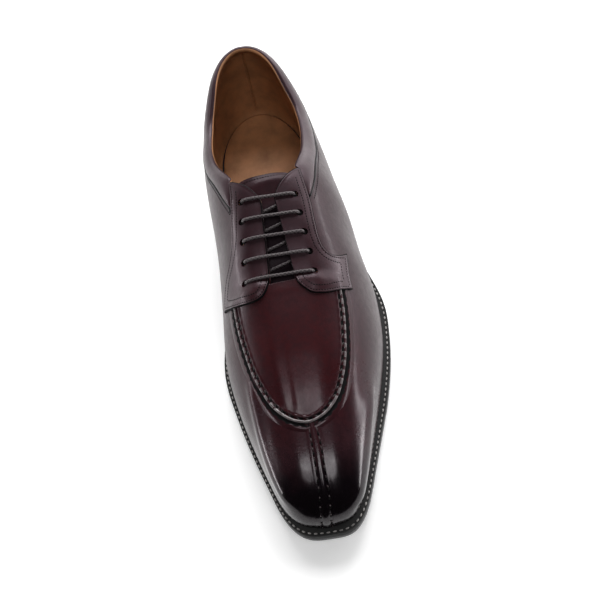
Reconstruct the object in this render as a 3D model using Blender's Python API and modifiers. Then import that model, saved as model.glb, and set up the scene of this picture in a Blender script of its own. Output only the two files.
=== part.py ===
"""Left split-toe derby shoe, built from a last: sole parts, hollow upper, tongue, overlays and lace.

The frame is in metres with +Z up, the toe towards -Y and the outer side of the foot towards +X.
Sizes and tables are in millimetres, and MM turns them into the frame's metres.
A station is a distance along the sole, from the back of the heel to the tip of the toe.
"""

import math
from collections import namedtuple

import bmesh
import bpy
import numpy as np
from mathutils import Vector

MM = 0.001

# Driving sizes
SOLE_LENGTH = 304.0
HEEL_CENTRE = 52.0
TOE_CENTRE = 272.0
HEEL_BREAST = 74.0
OUTSOLE_THICKNESS = 5.0
WELT_THICKNESS = 3.0
INSOLE_THICKNESS = 2.5
WALL_THICKNESS = 2.0
WELT_UNDER_FOOT = 9.0
HEEL_TAPER = 0.95
SEAT_GAP = 0.3

# Plan of the two ends: how square the outline is, 2 being an ellipse
HEEL_END_SQUARE = 2.1
TOE_END_SQUARE = {1: 4.3, -1: 3.1}

# The toe turns a little to the inner side: how far its tip moves over, and how its end slants
TOE_TURN_FROM = 258.0
TOE_TURN_IN = 2.3
TOE_TURN_SLANT = 0.045
TOE_TURN_ABOUT = 2.7

# One row for each section of the last, from heel to toe.
# med and lat are the inner and outer side of the foot.
# sole: edge of the sole from the long axis; margin: from there in to the widest line of the upper;
# tuck: from the widest line in to the upper's lower edge; tread: underside of the outsole over the floor;
# ridge: the upper's centre line; crown: height of the closed last there;
# flat: how flat the section is on top; flank: how straight it falls from there to its side;
# swell: height of the widest line over the welt.
Section = namedtuple(
    "Section",
    "station sole_med sole_lat margin_med margin_lat tuck_med tuck_lat tread ridge crown"
    " flat_med flat_lat flank_med flank_lat swell",
)
LAST = [
    Section(0, 26.0, 26.0, 1.0, 1.0, 3.0, 3.0, 24.0, 0.0, 146.0, 2.25, 2.25, 0.45, 0.45, 22),
    Section(24, 31.0, 31.0, -1.5, -1.5, 4.0, 4.0, 23.2, 0.0, 114.0, 2.25, 2.25, 0.45, 0.45, 22),
    Section(52, 32.5, 33.5, -4.5, -2.5, 5.5, 4.5, 22.0, 0.0, 93.0, 2.25, 2.25, 0.45, 0.45, 22),
    Section(80, 30.0, 35.5, -9.0, -4.5, 9.0, 6.0, 19.3, 0.2, 93.0, 2.8, 2.2, 0.36, 0.45, 22),
    Section(112, 28.0, 41.5, -11.0, -4.0, 11.0, 7.0, 11.0, 0.3, 100.5, 2.7, 2.4, 0.48, 0.55, 21),
    Section(140, 37.5, 51.5, -3.5, 3.0, 7.0, 4.0, 4.5, 0.1, 93.4, 2.8, 2.8, 0.70, 0.75, 18),
    Section(165, 46.0, 57.2, 2.2, 5.0, 3.3, 3.0, 1.0, 0.0, 83.5, 2.75, 2.8, 0.67, 0.75, 12),
    Section(190, 49.4, 54.6, 3.6, 3.9, 2.6, 2.6, 0.0, -0.2, 73.8, 2.55, 2.55, 0.57, 0.57, 8.3),
    Section(220, 44.9, 47.5, 2.5, 4.0, 2.5, 2.5, 0.0, -0.4, 62.9, 2.5, 2.45, 0.5, 0.48, 7),
    Section(248, 38.3, 37.4, 2.1, 2.9, 2.4, 2.4, 1.6, -0.6, 52.8, 2.5, 2.4, 0.44, 0.37, 3.8),
    Section(272, 31.1, 28.7, 1.8, 2.4, 2.4, 2.4, 4.6, -0.8, 45.5, 2.75, 2.65, 0.37, 0.315, 2.6),
    Section(304, 20.5, 19.5, 4.4, 4.4, 2.4, 2.4, 10.5, -0.8, 33.0, 2.8, 2.8, 0.36, 0.31, 2.6),
]

# Topline of the collar: height over the floor at each station, from the back to the facings
Topline = namedtuple("Topline", "station height")
TOPLINE = [
    Topline(0, 98.0),
    Topline(20, 93.0),
    Topline(56, 80.5),
    Topline(86, 84.5),
    Topline(112, 96.0),
]

# Throat: the slot between the facings, as half widths about the centre line
FACING_TOP = 112.0
FACING_TOP_HALF = 20.3
SLOT_TOP = 131.0
SLOT_TOP_HALF = 3.7
SLOT_END = 183.0
SLOT_END_HALF = 7.4
SLOT_ROUNDING = 4.0

# Facings: their outer seam, and their inner edge where it swings out at the front
FACING_LOW = 0.4
FACING_HIGH = 1.6
Facing = namedtuple("Facing", "station inner outer")
FACING_LATERAL = [
    Facing(113.5, 18.6, 20.8),
    Facing(122.0, 9.2, 22.1),
    Facing(132.0, 3.9, 23.2),
    Facing(146.0, 4.9, 23.5),
    Facing(154.0, 5.5, 24.2),
    Facing(158.5, 5.8, 27.0),
    Facing(161.0, 6.0, 36.8),
    Facing(170.0, 6.6, 36.9),
    Facing(177.0, 7.4, 36.8),
    Facing(180.0, 8.6, 35.4),
    Facing(183.0, 11.0, 28.0),
    Facing(185.0, 15.0, 22.0),
]
FACING_MEDIAL = [
    Facing(113.5, 18.6, 20.4),
    Facing(122.0, 9.2, 21.0),
    Facing(132.0, 3.9, 22.4),
    Facing(146.0, 4.9, 25.0),
    Facing(154.0, 5.5, 28.6),
    Facing(160.0, 5.9, 34.0),
    Facing(166.0, 6.3, 36.0),
    Facing(173.0, 7.0, 36.8),
    Facing(176.5, 7.6, 35.5),
    Facing(179.5, 9.0, 29.5),
    Facing(182.5, 12.5, 22.0),
    Facing(183.5, 15.0, 19.0),
]

# Apron: its front, rounded seam and its rear edge along the facings, by distance from the centre line
APRON_LOW = 0.3
APRON_HIGH = 1.3
Apron = namedtuple("Apron", "half front rear_lat rear_med")
APRON = [
    Apron(0.0, 252.0, 178.5, 178.5),
    Apron(5.8, 250.6, 178.5, 178.5),
    Apron(8.4, 249.3, 181.5, 180.6),
    Apron(11.8, 247.0, 185.0, 183.6),
    Apron(15.0, 243.6, 186.4, 185.0),
    Apron(18.0, 239.6, 186.6, 185.0),
    Apron(23.3, 228.0, 186.0, 184.0),
    Apron(27.0, 216.0, 184.8, 182.4),
    Apron(29.3, 203.0, 183.8, 181.4),
    Apron(30.8, 190.0, 183.2, 180.6),
]

# Collar band round the topline: the height of its lower edge; its top is the topline, then the facing's seam
COLLAR_END = 119.0
COLLAR_LOW = 0.3
COLLAR_EDGE = 1.1
COLLAR_PAD = 0.6
CollarLine = namedtuple("CollarLine", "station height")
COLLAR_LINE = [
    CollarLine(0, 90.5),
    CollarLine(20, 85.5),
    CollarLine(56, 73.0),
    CollarLine(86, 77.3),
    CollarLine(103, 84.6),
    CollarLine(112, 87.5),
    CollarLine(120, 88.8),
]

# Raised seam down the toe
TOE_SEAM_MIDDLE = 0.7
TOE_SEAM_HALF = 2.6
TOE_SEAM_LOW = 0.3
TOE_SEAM_HIGH = 0.9
TOE_SEAM_START = 253.0
TOE_SEAM_END = -0.1

# Tongue under the facings
TONGUE_THICKNESS = 2.0
TONGUE_TOP = 110.0
TONGUE_ROOT = 204.0
TONGUE_HALF = 24.0
TONGUE_DROP = 5.4
TONGUE_LIE_FROM = 196.0
TONGUE_LIE_TO = 178.0
TONGUE_CORNER = 3.0

# Lace and its eyelets, the first pair at the top: station and distance from the centre line
LACE_RADIUS = 1.2
EYELET_RADIUS = 2.3
EYELET_ROWS = 5
EYELET_STEP = 10.8
EYELET_FIRST = {1: 130.2, -1: 128.2}
EYELET_OUT = {1: 15.6, -1: 15.0}
EYELET_SPREAD = {1: 0.6, -1: 1.4}
LACE_OVER = 3.15
LACE_UNDER = 3.7

# Mesh fineness
HEEL_SPOKES = 6
SIDE_SPOKES = 28
TOE_SPOKES = 7
TUCK_ROWS = 3
WALL_ROWS = 8
FACING_COLUMNS = 7
FACING_STEP = 5.0
FACING_SWING = 2.6
APRON_COLUMNS = 16
APRON_ROWS = 9
TONGUE_COLUMNS = 8
TONGUE_ROWS = 12
COLLAR_ROWS = 4

LATERAL, MEDIAL = 1, -1
SIDE_NAMES = {LATERAL: "lat", MEDIAL: "med"}
MIDDLE_X = (max(row.sole_lat for row in LAST) - max(row.sole_med for row in LAST)) / 2

# Finishes: colour, roughness and metallic value
LEATHER = ("leather_oxblood", (0.055, 0.022, 0.022), 0.28, 0.0)
LEATHER_DARK = ("leather_dark_brown", (0.045, 0.022, 0.022), 0.3, 0.0)
SOLE_BLACK = ("sole_edge_black", (0.012, 0.012, 0.013), 0.45, 0.0)
LINING_TAN = ("lining_tan", (0.45, 0.2, 0.08), 0.6, 0.0)
LACE_BROWN = ("lace_waxed_brown", (0.03, 0.02, 0.018), 0.5, 0.0)


def clear_scene():
    for old in list(bpy.data.objects):
        bpy.data.objects.remove(old)


def new_collection(name):
    made = bpy.data.collections.new(name)
    bpy.context.scene.collection.children.link(made)
    return made


def material(finish):
    name, colour, roughness, metallic = finish
    made = bpy.data.materials.get(name)
    if made is None:
        made = bpy.data.materials.new(name)
        made.use_nodes = True
        shader = made.node_tree.nodes["Principled BSDF"]
        shader.inputs["Base Color"].default_value = (*colour, 1.0)
        shader.inputs["Roughness"].default_value = roughness
        shader.inputs["Metallic"].default_value = metallic
    return made


def place(x, station, height):
    """A point of the shoe, from millimetres along the last to the frame's metres."""
    turned = (max(station - TOE_TURN_FROM, 0.0) / (SOLE_LENGTH - TOE_TURN_FROM)) ** 2
    ahead = station + TOE_TURN_SLANT * (x - TOE_TURN_ABOUT) * turned
    return Vector((x - TOE_TURN_IN * turned - MIDDLE_X, SOLE_LENGTH / 2 - ahead, height)) * MM


def slopes_through(xs, ys):
    """Slopes of the monotone cubic through the points: flat runs stay flat and nothing overshoots."""
    steps = np.diff(xs)
    rises = np.diff(ys) / steps
    slopes = np.zeros(len(xs))
    slopes[0], slopes[-1] = rises[0], rises[-1]
    for i in range(1, len(xs) - 1):
        before, after = rises[i - 1], rises[i]
        if before * after > 0:
            near, far = steps[i] * 2 + steps[i - 1], steps[i] + steps[i - 1] * 2
            slopes[i] = (near + far) / (near / before + far / after)
    return slopes


class Curve:
    """A smooth curve through the rows of a table, read by one of its columns."""

    def __init__(self, rows, column):
        self.xs = np.array([row[0] for row in rows], float)
        self.ys = np.array([getattr(row, column) for row in rows], float)
        self.slopes = slopes_through(self.xs, self.ys)

    def __call__(self, x):
        i = int(np.clip(np.searchsorted(self.xs, x) - 1, 0, len(self.xs) - 2))
        step = self.xs[i + 1] - self.xs[i]
        t = min(max((x - self.xs[i]) / step, 0.0), 1.0)
        start, end = self.ys[i], self.ys[i + 1]
        leave, arrive = self.slopes[i] * step, self.slopes[i + 1] * step
        blend = t * t * (3 - 2 * t)
        return start + (end - start) * blend + leave * t * (1 - t) ** 2 - arrive * t * t * (1 - t)


LAST_CURVES = {name: Curve(LAST, name) for name in Section._fields[1:]}
TOPLINE_HEIGHT = Curve(TOPLINE, "height")
COLLAR_HEIGHT = Curve(COLLAR_LINE, "height")
FACING_OUTER = {1: Curve(FACING_LATERAL, "outer"), -1: Curve(FACING_MEDIAL, "outer")}


def last(column, station, side=None):
    """A column of the last at a station; sided columns take the side of the foot."""
    name = column if side is None else f"{column}_{SIDE_NAMES[side]}"
    return LAST_CURVES[name](station)


def outsole_top(station):
    return last("tread", station) + OUTSOLE_THICKNESS


def welt_top(station):
    return outsole_top(station) + SEAT_GAP + WELT_THICKNESS


def feather_height(station):
    """Lower edge of the upper, where it stands on the welt."""
    return welt_top(station) + SEAT_GAP


def swell_height(station):
    return welt_top(station) + last("swell", station)


def no_inset(_side, _station):
    return 0.0


def swell_inset(side, station):
    """From the sole's edge in to the widest line of the upper."""
    return last("margin", station, side)


def feather_inset(side, station):
    """From the sole's edge in to the upper's lower edge."""
    return last("margin", station, side) + last("tuck", station, side)


def half_width(side, station, inset):
    """From the ridge line out to the sole's edge, less the inset."""
    return last("sole", station, side) - side * last("ridge", station) - inset(side, station)


# A spoke runs out from the ridge line. Along the foot it is square to the axis and swing is 0.
# Round the toe it swings from 0 to a right angle about the toe centre, and round the heel to minus one.
Spoke = namedtuple("Spoke", "side root swing")
RIGHT_ANGLE = math.pi / 2


def end_of(spoke):
    """Centre, direction, reach and squareness of the end that a swung spoke belongs to."""
    if spoke.swing > 0:
        return TOE_CENTRE, 1, SOLE_LENGTH - TOE_CENTRE, TOE_END_SQUARE[spoke.side]
    return HEEL_CENTRE, -1, HEEL_CENTRE, HEEL_END_SQUARE


def taper(side, centre, way, inset):
    """Share of its width that the outline loses for each millimetre past an end's centre."""
    here = half_width(side, centre, inset)
    behind = half_width(side, centre - way, inset)
    return (behind - here) / here


def edge_point(spoke, inset=no_inset):
    """Plan place, x and station, where a spoke meets the outline that lies inset from the sole's edge."""
    if spoke.swing == 0:
        half = half_width(spoke.side, spoke.root, inset)
        return last("ridge", spoke.root) + spoke.side * half, spoke.root
    centre, way, reach, square = end_of(spoke)
    reach -= inset(spoke.side, centre + way * reach)
    angle = min(abs(spoke.swing), RIGHT_ANGLE)
    ahead = reach * math.sin(angle) ** (2 / square)
    half = half_width(spoke.side, centre, inset) * (1 - taper(spoke.side, centre, way, inset) * ahead)
    half *= max(math.cos(angle), 0.0) ** (2 / square)
    return last("ridge", centre) + spoke.side * half, centre + way * ahead


def spoke_point(spoke, turn):
    """Point of the upper's outside on a spoke, as x, station and height.

    turn is -1 at the lower edge, 0 at the widest line and 1 at the ridge of the closed last.
    """
    wide_x, wide_station = edge_point(spoke, swell_inset)
    wide_height = swell_height(wide_station)
    if turn <= 0:
        low_x, low_station = edge_point(spoke, feather_inset)
        angle = -turn * RIGHT_ANGLE
        share = 1 - math.cos(angle)
        drop = (wide_height - feather_height(low_station)) * math.sin(angle)
        return (
            wide_x + (low_x - wide_x) * share,
            wide_station + (low_station - wide_station) * share,
            wide_height - drop,
        )
    angle = turn * RIGHT_ANGLE
    out = max(math.cos(angle), 0.0) ** (2 / last("flat", spoke.root, spoke.side))
    up = math.sin(angle) ** (2 * last("flank", spoke.root, spoke.side))
    root_x = last("ridge", spoke.root)
    x = root_x + (wide_x - root_x) * out
    station = spoke.root + (wide_station - spoke.root) * out
    return x, station, wide_height + (last("crown", station) - wide_height) * up


def turn_for_height(spoke, height):
    """The turn at which a spoke of the heel or quarters reaches a height."""
    low, high = 0.0, 1.0
    for _ in range(30):
        turn = (low + high) / 2
        low, high = (turn, high) if spoke_point(spoke, turn)[2] < height else (low, turn)
    return turn


def turn_for_half(spoke, half):
    """The turn at which a spoke along the foot lies half from the ridge line."""
    share = half / half_width(spoke.side, spoke.root, swell_inset)
    return math.acos(share ** (last("flat", spoke.root, spoke.side) / 2)) / RIGHT_ANGLE


def toe_share(across, ahead, side):
    """How far out a place in the toe lies, as a share of the way from the toe centre to the widest line."""
    half = half_width(side, TOE_CENTRE, swell_inset)
    loss = taper(side, TOE_CENTRE, 1, swell_inset)
    reach = SOLE_LENGTH - TOE_CENTRE - swell_inset(side, SOLE_LENGTH)
    square = TOE_END_SQUARE[side]
    low, high = ahead / reach * 0.5, 2.0
    for _ in range(40):
        share = (low + high) / 2
        wide = max(half * (1 - loss * ahead / share), 0.001)
        outside = (across / share / wide) ** square + (ahead / share / reach) ** square
        low, high = (share, high) if outside > 1 else (low, share)
    return share


def height_over(across, station):
    """Height of the upper's outside over a plan place, across from the ridge line, positive to the outer side."""
    side = LATERAL if across >= 0 else MEDIAL
    root = min(station, TOE_CENTRE)
    if station <= TOE_CENTRE:
        share = abs(across) / half_width(side, station, swell_inset)
        wide_height = swell_height(station)
    else:
        share = toe_share(abs(across), station - TOE_CENTRE, side)
        wide_height = swell_height(TOE_CENTRE + (station - TOE_CENTRE) / max(share, 1e-6))
    left = max(1 - min(share, 1.0) ** last("flat", root, side), 0.0)
    return wide_height + (last("crown", station) - wide_height) * left ** last("flank", root, side)


def over_last(across, station, lift=0.0):
    """Point over a plan place on the top of the upper, lifted along the surface's normal."""
    nudge = 0.2
    rise_x = (height_over(across + nudge, station) - height_over(across - nudge, station)) / (2 * nudge)
    rise_s = (height_over(across, station + nudge) - height_over(across, station - nudge)) / (2 * nudge)
    length = math.sqrt(1 + rise_x**2 + rise_s**2)
    return (
        last("ridge", station) + across - rise_x * lift / length,
        station - rise_s * lift / length,
        height_over(across, station) + lift / length,
    )


def slot_half(station):
    """Half width of the opening at a station, from the top of the facings to the end of the throat."""
    if station < SLOT_TOP:
        left = (SLOT_TOP - station) / (SLOT_TOP - FACING_TOP)
        return SLOT_TOP_HALF + (FACING_TOP_HALF - SLOT_TOP_HALF) * left**1.6
    share = (station - SLOT_TOP) / (SLOT_END - SLOT_TOP)
    half = SLOT_TOP_HALF + (SLOT_END_HALF - SLOT_TOP_HALF) * min(share, 1.0)
    from_end = min(max((SLOT_END - station) / SLOT_ROUNDING, 0.0), 1.0)
    return half * math.sqrt(1 - (1 - from_end) ** 2)


def side_spokes(side):
    """The spokes of one side, from the back of the heel to the tip of the toe."""
    heel = [Spoke(side, HEEL_CENTRE, -RIGHT_ANGLE * (1 - i / HEEL_SPOKES)) for i in range(HEEL_SPOKES)]
    roots = list(np.linspace(HEEL_CENTRE, TOE_CENTRE, SIDE_SPOKES + 1))
    for mark in (FACING_TOP, SLOT_END):
        nearest = min(range(len(roots)), key=lambda i: abs(roots[i] - mark))
        roots[nearest] = mark
    along = [Spoke(side, root, 0.0) for root in roots]
    toe = [Spoke(side, TOE_CENTRE, RIGHT_ANGLE * (i + 1) / TOE_SPOKES) for i in range(TOE_SPOKES)]
    return heel + along + toe


def last_turn(spoke):
    """Where the upper ends on a spoke: at the collar, at the throat's edge or at the ridge."""
    if spoke.swing <= 0 and spoke.root < FACING_TOP:
        _, station = edge_point(spoke, swell_inset)
        return turn_for_height(spoke, TOPLINE_HEIGHT(station))
    if spoke.swing == 0 and spoke.root < SLOT_END:
        return turn_for_half(spoke, slot_half(spoke.root))
    return 1.0


def grid_slab(name, columns, rows, spot, finish, collection):
    """A closed slab from a grid; spot gives x, station and height for a column and row, above or under."""
    bm = bmesh.new()
    column_of = bm.verts.layers.int.new("column")
    row_of = bm.verts.layers.int.new("row")
    bmesh.ops.create_grid(bm, x_segments=columns, y_segments=rows, size=0.5)
    for vert in bm.verts:
        vert[column_of] = round((vert.co.x + 0.5) * columns)
        vert[row_of] = round((vert.co.y + 0.5) * rows)
        vert.co = place(*spot(vert[column_of], vert[row_of], False))
    bmesh.ops.remove_doubles(bm, verts=bm.verts, dist=0.00001)
    copied = bmesh.ops.extrude_face_region(bm, geom=bm.faces[:])
    for vert in copied["geom"]:
        if isinstance(vert, bmesh.types.BMVert):
            vert.co = place(*spot(vert[column_of], vert[row_of], True))
    close_up(bm)
    return make_object(name, bm, finish, collection)


def close_up(bm):
    bmesh.ops.remove_doubles(bm, verts=bm.verts, dist=0.00001)
    bmesh.ops.dissolve_degenerate(bm, edges=bm.edges, dist=0.00001)
    bmesh.ops.recalc_face_normals(bm, faces=bm.faces)


def make_object(name, bm, finish, collection, smooth_below=40.0):
    mesh = bpy.data.meshes.new(name)
    bm.to_mesh(mesh)
    bm.free()
    mesh.shade_smooth()
    mesh.set_sharp_from_angle(angle=math.radians(smooth_below))
    mesh.materials.append(material(finish))
    made = bpy.data.objects.new(name, mesh)
    collection.objects.link(made)
    return made


def sole_slab(name, inset, top, thickness, finish, collection):
    """A plate under the whole foot, with cross lines from the inner to the outer edge."""
    sides = side_spokes(MEDIAL), side_spokes(LATERAL)

    def spot(column, row, under):
        x, station = edge_point(sides[column][row], inset)
        return x, station, top(station) - (thickness if under else 0)

    return grid_slab(name, 1, len(sides[0]) - 1, spot, finish, collection)


def build_outsole(collection):
    return sole_slab("outsole", no_inset, outsole_top, OUTSOLE_THICKNESS, SOLE_BLACK, collection)


def build_insole(collection):
    def inset(side, station):
        return feather_inset(side, station) + WALL_THICKNESS + SEAT_GAP

    def top(station):
        return feather_height(station) + INSOLE_THICKNESS

    return sole_slab("insole", inset, top, INSOLE_THICKNESS, LINING_TAN, collection)


def full_ring():
    """Spokes once round the foot, from the back of the heel by the outer side and home by the inner."""
    return side_spokes(LATERAL) + side_spokes(MEDIAL)[::-1][1:]


def build_welt(collection):
    ring = full_ring()

    def inner_inset(side, station):
        return feather_inset(side, station) + WELT_UNDER_FOOT

    def spot(column, row, under):
        x, station = edge_point(ring[column], inner_inset if row else no_inset)
        return x, station, welt_top(station) - (WELT_THICKNESS if under else 0)

    return grid_slab("welt", len(ring) - 1, 1, spot, SOLE_BLACK, collection)


def build_heel(collection):
    sides = []
    for side in (MEDIAL, LATERAL):
        spokes = [spoke for spoke in side_spokes(side) if spoke.root < HEEL_BREAST - 2]
        sides.append(spokes + [Spoke(side, HEEL_BREAST, 0.0)])

    def spot(column, row, under):
        x, station = edge_point(sides[column][row])
        if not under:
            return x, station, last("tread", station) - SEAT_GAP
        return x * HEEL_TAPER, HEEL_BREAST + (station - HEEL_BREAST) * HEEL_TAPER, 0.0

    return grid_slab("heel", 1, len(sides[0]) - 1, spot, SOLE_BLACK, collection)


def build_upper(collection, punch):
    ring = full_ring()
    rows = TUCK_ROWS + WALL_ROWS
    bm = bmesh.new()
    bmesh.ops.create_grid(bm, x_segments=len(ring) - 1, y_segments=rows, size=0.5)
    for vert in bm.verts:
        spoke = ring[round((vert.co.x + 0.5) * (len(ring) - 1))]
        row = round((vert.co.y + 0.5) * rows)
        if row <= TUCK_ROWS:
            turn = row / TUCK_ROWS - 1
        else:
            turn = last_turn(spoke) * (row - TUCK_ROWS) / WALL_ROWS
        vert.co = place(*spoke_point(spoke, turn))
    close_up(bm)
    upper = make_object("upper", bm, LEATHER, collection)
    wall = upper.modifiers.new("wall", "SOLIDIFY")
    wall.thickness = WALL_THICKNESS * MM
    wall.offset = -1.0
    wall.use_even_offset = True
    pierce(upper, punch)
    return upper


def pierce(sheet, punch):
    cut = sheet.modifiers.new("eyelets", "BOOLEAN")
    cut.operation = "DIFFERENCE"
    cut.solver = "EXACT"
    cut.object = punch


def eyelet(side, row):
    """Plan place of an eyelet, across and station; row 0 is at the top."""
    return side * (EYELET_OUT[side] + EYELET_SPREAD[side] * row), EYELET_FIRST[side] + EYELET_STEP * row


def build_punch(collection):
    """Round cutters along the surface's normal at each eyelet."""
    bm = bmesh.new()
    for side in (LATERAL, MEDIAL):
        for row in range(EYELET_ROWS):
            spot = eyelet(side, row)
            low, high = place(*over_last(*spot, -5.0)), place(*over_last(*spot, 4.0))
            axis = high - low
            turn = axis.to_track_quat("Z", "Y").to_matrix().to_4x4()
            turn.translation = (low + high) / 2
            bmesh.ops.create_cone(
                bm,
                cap_ends=True,
                segments=12,
                radius1=EYELET_RADIUS * MM,
                radius2=EYELET_RADIUS * MM,
                depth=axis.length,
                matrix=turn,
            )
    punch = make_object("eyelet_punch", bm, LEATHER_DARK, collection)
    punch.hide_render = True
    punch.display_type = "WIRE"
    return punch


def facing_stations(rows):
    """Stations of a facing's cross lines, closer together where an edge swings across the foot."""
    stations = [rows[0].station]
    for row, following in zip(rows, rows[1:]):
        length = following.station - row.station
        swing = max(abs(following.outer - row.outer), abs(following.inner - row.inner))
        parts = math.ceil(max(length / FACING_STEP, swing / FACING_SWING))
        stations += [row.station + length * (i + 1) / parts for i in range(parts)]
    return stations


def build_facing(name, side, rows, collection, punch):
    inner, outer = Curve(rows, "inner"), Curve(rows, "outer")
    stations = facing_stations(rows)

    def spot(column, row, under):
        station = stations[row]
        near, far = inner(station), outer(station)
        across = near + (far - near) * column / FACING_COLUMNS
        return over_last(side * across, station, FACING_LOW if under else FACING_HIGH)

    facing = grid_slab(name, FACING_COLUMNS, len(stations) - 1, spot, LEATHER_DARK, collection)
    pierce(facing, punch)
    return facing


def build_apron(collection):
    front = Curve(APRON, "front")
    rear = {LATERAL: Curve(APRON, "rear_lat"), MEDIAL: Curve(APRON, "rear_med")}
    half = APRON[-1].half

    def spot(column, row, under):
        across = half * math.sin(RIGHT_ANGLE * (2 * column / APRON_COLUMNS - 1))
        back = rear[LATERAL if across > 0 else MEDIAL](abs(across))
        station = back + (front(abs(across)) - back) * row / APRON_ROWS
        return over_last(across, station, APRON_LOW if under else APRON_HIGH)

    return grid_slab("apron", APRON_COLUMNS, APRON_ROWS, spot, LEATHER, collection)


def build_tongue(collection):
    def drop(station):
        share = (TONGUE_LIE_FROM - station) / (TONGUE_LIE_FROM - TONGUE_LIE_TO)
        share = min(max(share, 0.0), 1.0)
        lying = WALL_THICKNESS + 2 * SEAT_GAP
        return lying + (TONGUE_DROP - lying) * share * share * (3 - 2 * share)

    def spot(column, row, under):
        across = TONGUE_HALF * (2 * column / TONGUE_COLUMNS - 1)
        top = TONGUE_TOP + TONGUE_CORNER * (abs(across) / TONGUE_HALF) ** 4
        station = top + (TONGUE_ROOT - top) * row / TONGUE_ROWS
        return over_last(across, station, -drop(station) - (TONGUE_THICKNESS if under else 0))

    return grid_slab("tongue", TONGUE_COLUMNS, TONGUE_ROWS, spot, LEATHER_DARK, collection)


def wall_point(spokes, index, turn, lift):
    """Point on a spoke of the quarters, lifted square to the wall; spokes is the run it belongs to."""
    before, after = spokes[max(index - 1, 0)], spokes[min(index + 1, len(spokes) - 1)]
    along = Vector(spoke_point(after, turn)) - Vector(spoke_point(before, turn))
    up = Vector(spoke_point(spokes[index], turn + 0.01)) - Vector(spoke_point(spokes[index], turn - 0.01))
    normal = along.cross(up).normalized()
    centre = Vector((last("ridge", HEEL_CENTRE), HEEL_CENTRE, 0))
    here = Vector(spoke_point(spokes[index], turn))
    if normal.dot((here - centre) * Vector((1, 0.2, 0))) < 0:
        normal.negate()
    return tuple(here + normal * lift)


def collar_top_turn(spoke):
    if spoke.root <= FACING_TOP:
        _, station = edge_point(spoke, swell_inset)
        return turn_for_height(spoke, TOPLINE_HEIGHT(station) - SEAT_GAP)
    return turn_for_half(spoke, FACING_OUTER[spoke.side](spoke.root) + 2 * SEAT_GAP)


def build_collar(collection):
    sides = []
    for side in (LATERAL, MEDIAL):
        sides.append([spoke for spoke in side_spokes(side) if spoke.root < COLLAR_END])
    spokes = sides[0][::-1] + sides[1][1:]

    def spot(column, row, under):
        spoke = spokes[column]
        _, station = edge_point(spoke, swell_inset)
        share = row / COLLAR_ROWS
        top, low = collar_top_turn(spoke), turn_for_height(spoke, COLLAR_HEIGHT(station))
        lift = COLLAR_LOW if under else COLLAR_EDGE + COLLAR_PAD * math.sin(math.pi * share)
        return wall_point(spokes, column, top + (low - top) * share, lift)

    return grid_slab("collar_band", len(spokes) - 1, COLLAR_ROWS, spot, LEATHER_DARK, collection)


def toe_profile():
    """Stations and heights down the middle of the toe, from the apron to just over the welt."""
    ridge = [
        (station, height_over(0.0, station)) for station in np.linspace(TOE_SEAM_START, TOE_CENTRE, 6)[:-1]
    ]
    nose = Spoke(LATERAL, TOE_CENTRE, RIGHT_ANGLE)
    front = [spoke_point(nose, turn)[1:] for turn in np.linspace(1.0, TOE_SEAM_END, 15)]
    return ridge + front


def build_toe_seam(collection):
    profile = toe_profile()
    def spot(column, row, under):
        before, after = profile[max(row - 1, 0)], profile[min(row + 1, len(profile) - 1)]
        run, fall = after[0] - before[0], after[1] - before[1]
        length = math.hypot(run, fall)
        lift = TOE_SEAM_LOW if under else TOE_SEAM_HIGH
        station, height = profile[row]
        x = TOE_SEAM_MIDDLE + TOE_SEAM_HALF * (2 * column - 1)
        return x, station - fall / length * lift, height + run / length * lift

    return grid_slab("toe_seam", 1, len(profile) - 1, spot, LEATHER, collection)


def through_eyelet(here, to_under, to_over):
    """Lace points from under an eyelet up through it, between two plan places that the lace heads for."""

    def towards(target, distance):
        step = Vector(target) - Vector(here)
        return Vector(here) + step.normalized() * distance

    run = []
    for target, distance, lift in (
        (to_under, 3.2, -LACE_UNDER),
        (to_under, 1.7, -LACE_UNDER + 0.2),
        (to_under, 0.6, -LACE_UNDER + 0.8),
        (to_under, 0.0, -1.6),
        (to_over, 0.0, 0.8),
        (to_over, 0.5, LACE_OVER - 0.7),
        (to_over, 1.6, LACE_OVER - 0.2),
        (to_over, 3.2, LACE_OVER),
    ):
        run.append((*towards(target, distance), lift))
    return run


def lace_path():
    """The lace from the lowest outer eyelet: over to the inner side, then under to the next outer eyelet."""
    path = []
    for row in range(EYELET_ROWS - 1, -1, -1):
        out, home = eyelet(LATERAL, row), eyelet(MEDIAL, row)
        below = eyelet(MEDIAL, row + 1)
        path += through_eyelet(out, below, home)
        path += between(path[-1], through_eyelet(home, out, out)[-1])
        if row:
            above = eyelet(LATERAL, row - 1)
            path += through_eyelet(home, above, out)[::-1]
            path += between(path[-1], through_eyelet(above, home, home)[0])
        else:
            path += through_eyelet(home, out, out)[::-1]
    return [place(*over_last(*point)) for point in path]


def between(start, end, count=4):
    """Plan points from one lace point to another, without the two ends."""
    a, b = Vector(start), Vector(end)
    return [tuple(a.lerp(b, (i + 1) / count)) for i in range(count - 1)]


def build_lace(collection):
    points = lace_path()
    cord = bpy.data.curves.new("lace", "CURVE")
    cord.dimensions = "3D"
    cord.bevel_depth = LACE_RADIUS * MM
    cord.bevel_resolution = 2
    cord.use_fill_caps = True
    spline = cord.splines.new("POLY")
    spline.points.add(len(points) - 1)
    for spot, point in zip(spline.points, points):
        spot.co = (*point, 1.0)
    drawn = bpy.data.objects.new("lace_line", cord)
    collection.objects.link(drawn)
    solid = bpy.data.meshes.new_from_object(drawn.evaluated_get(bpy.context.evaluated_depsgraph_get()))
    bpy.data.objects.remove(drawn)
    bm = bmesh.new()
    bm.from_mesh(solid)
    bpy.data.meshes.remove(solid)
    close_up(bm)
    return make_object("lace", bm, LACE_BROWN, collection)


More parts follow.
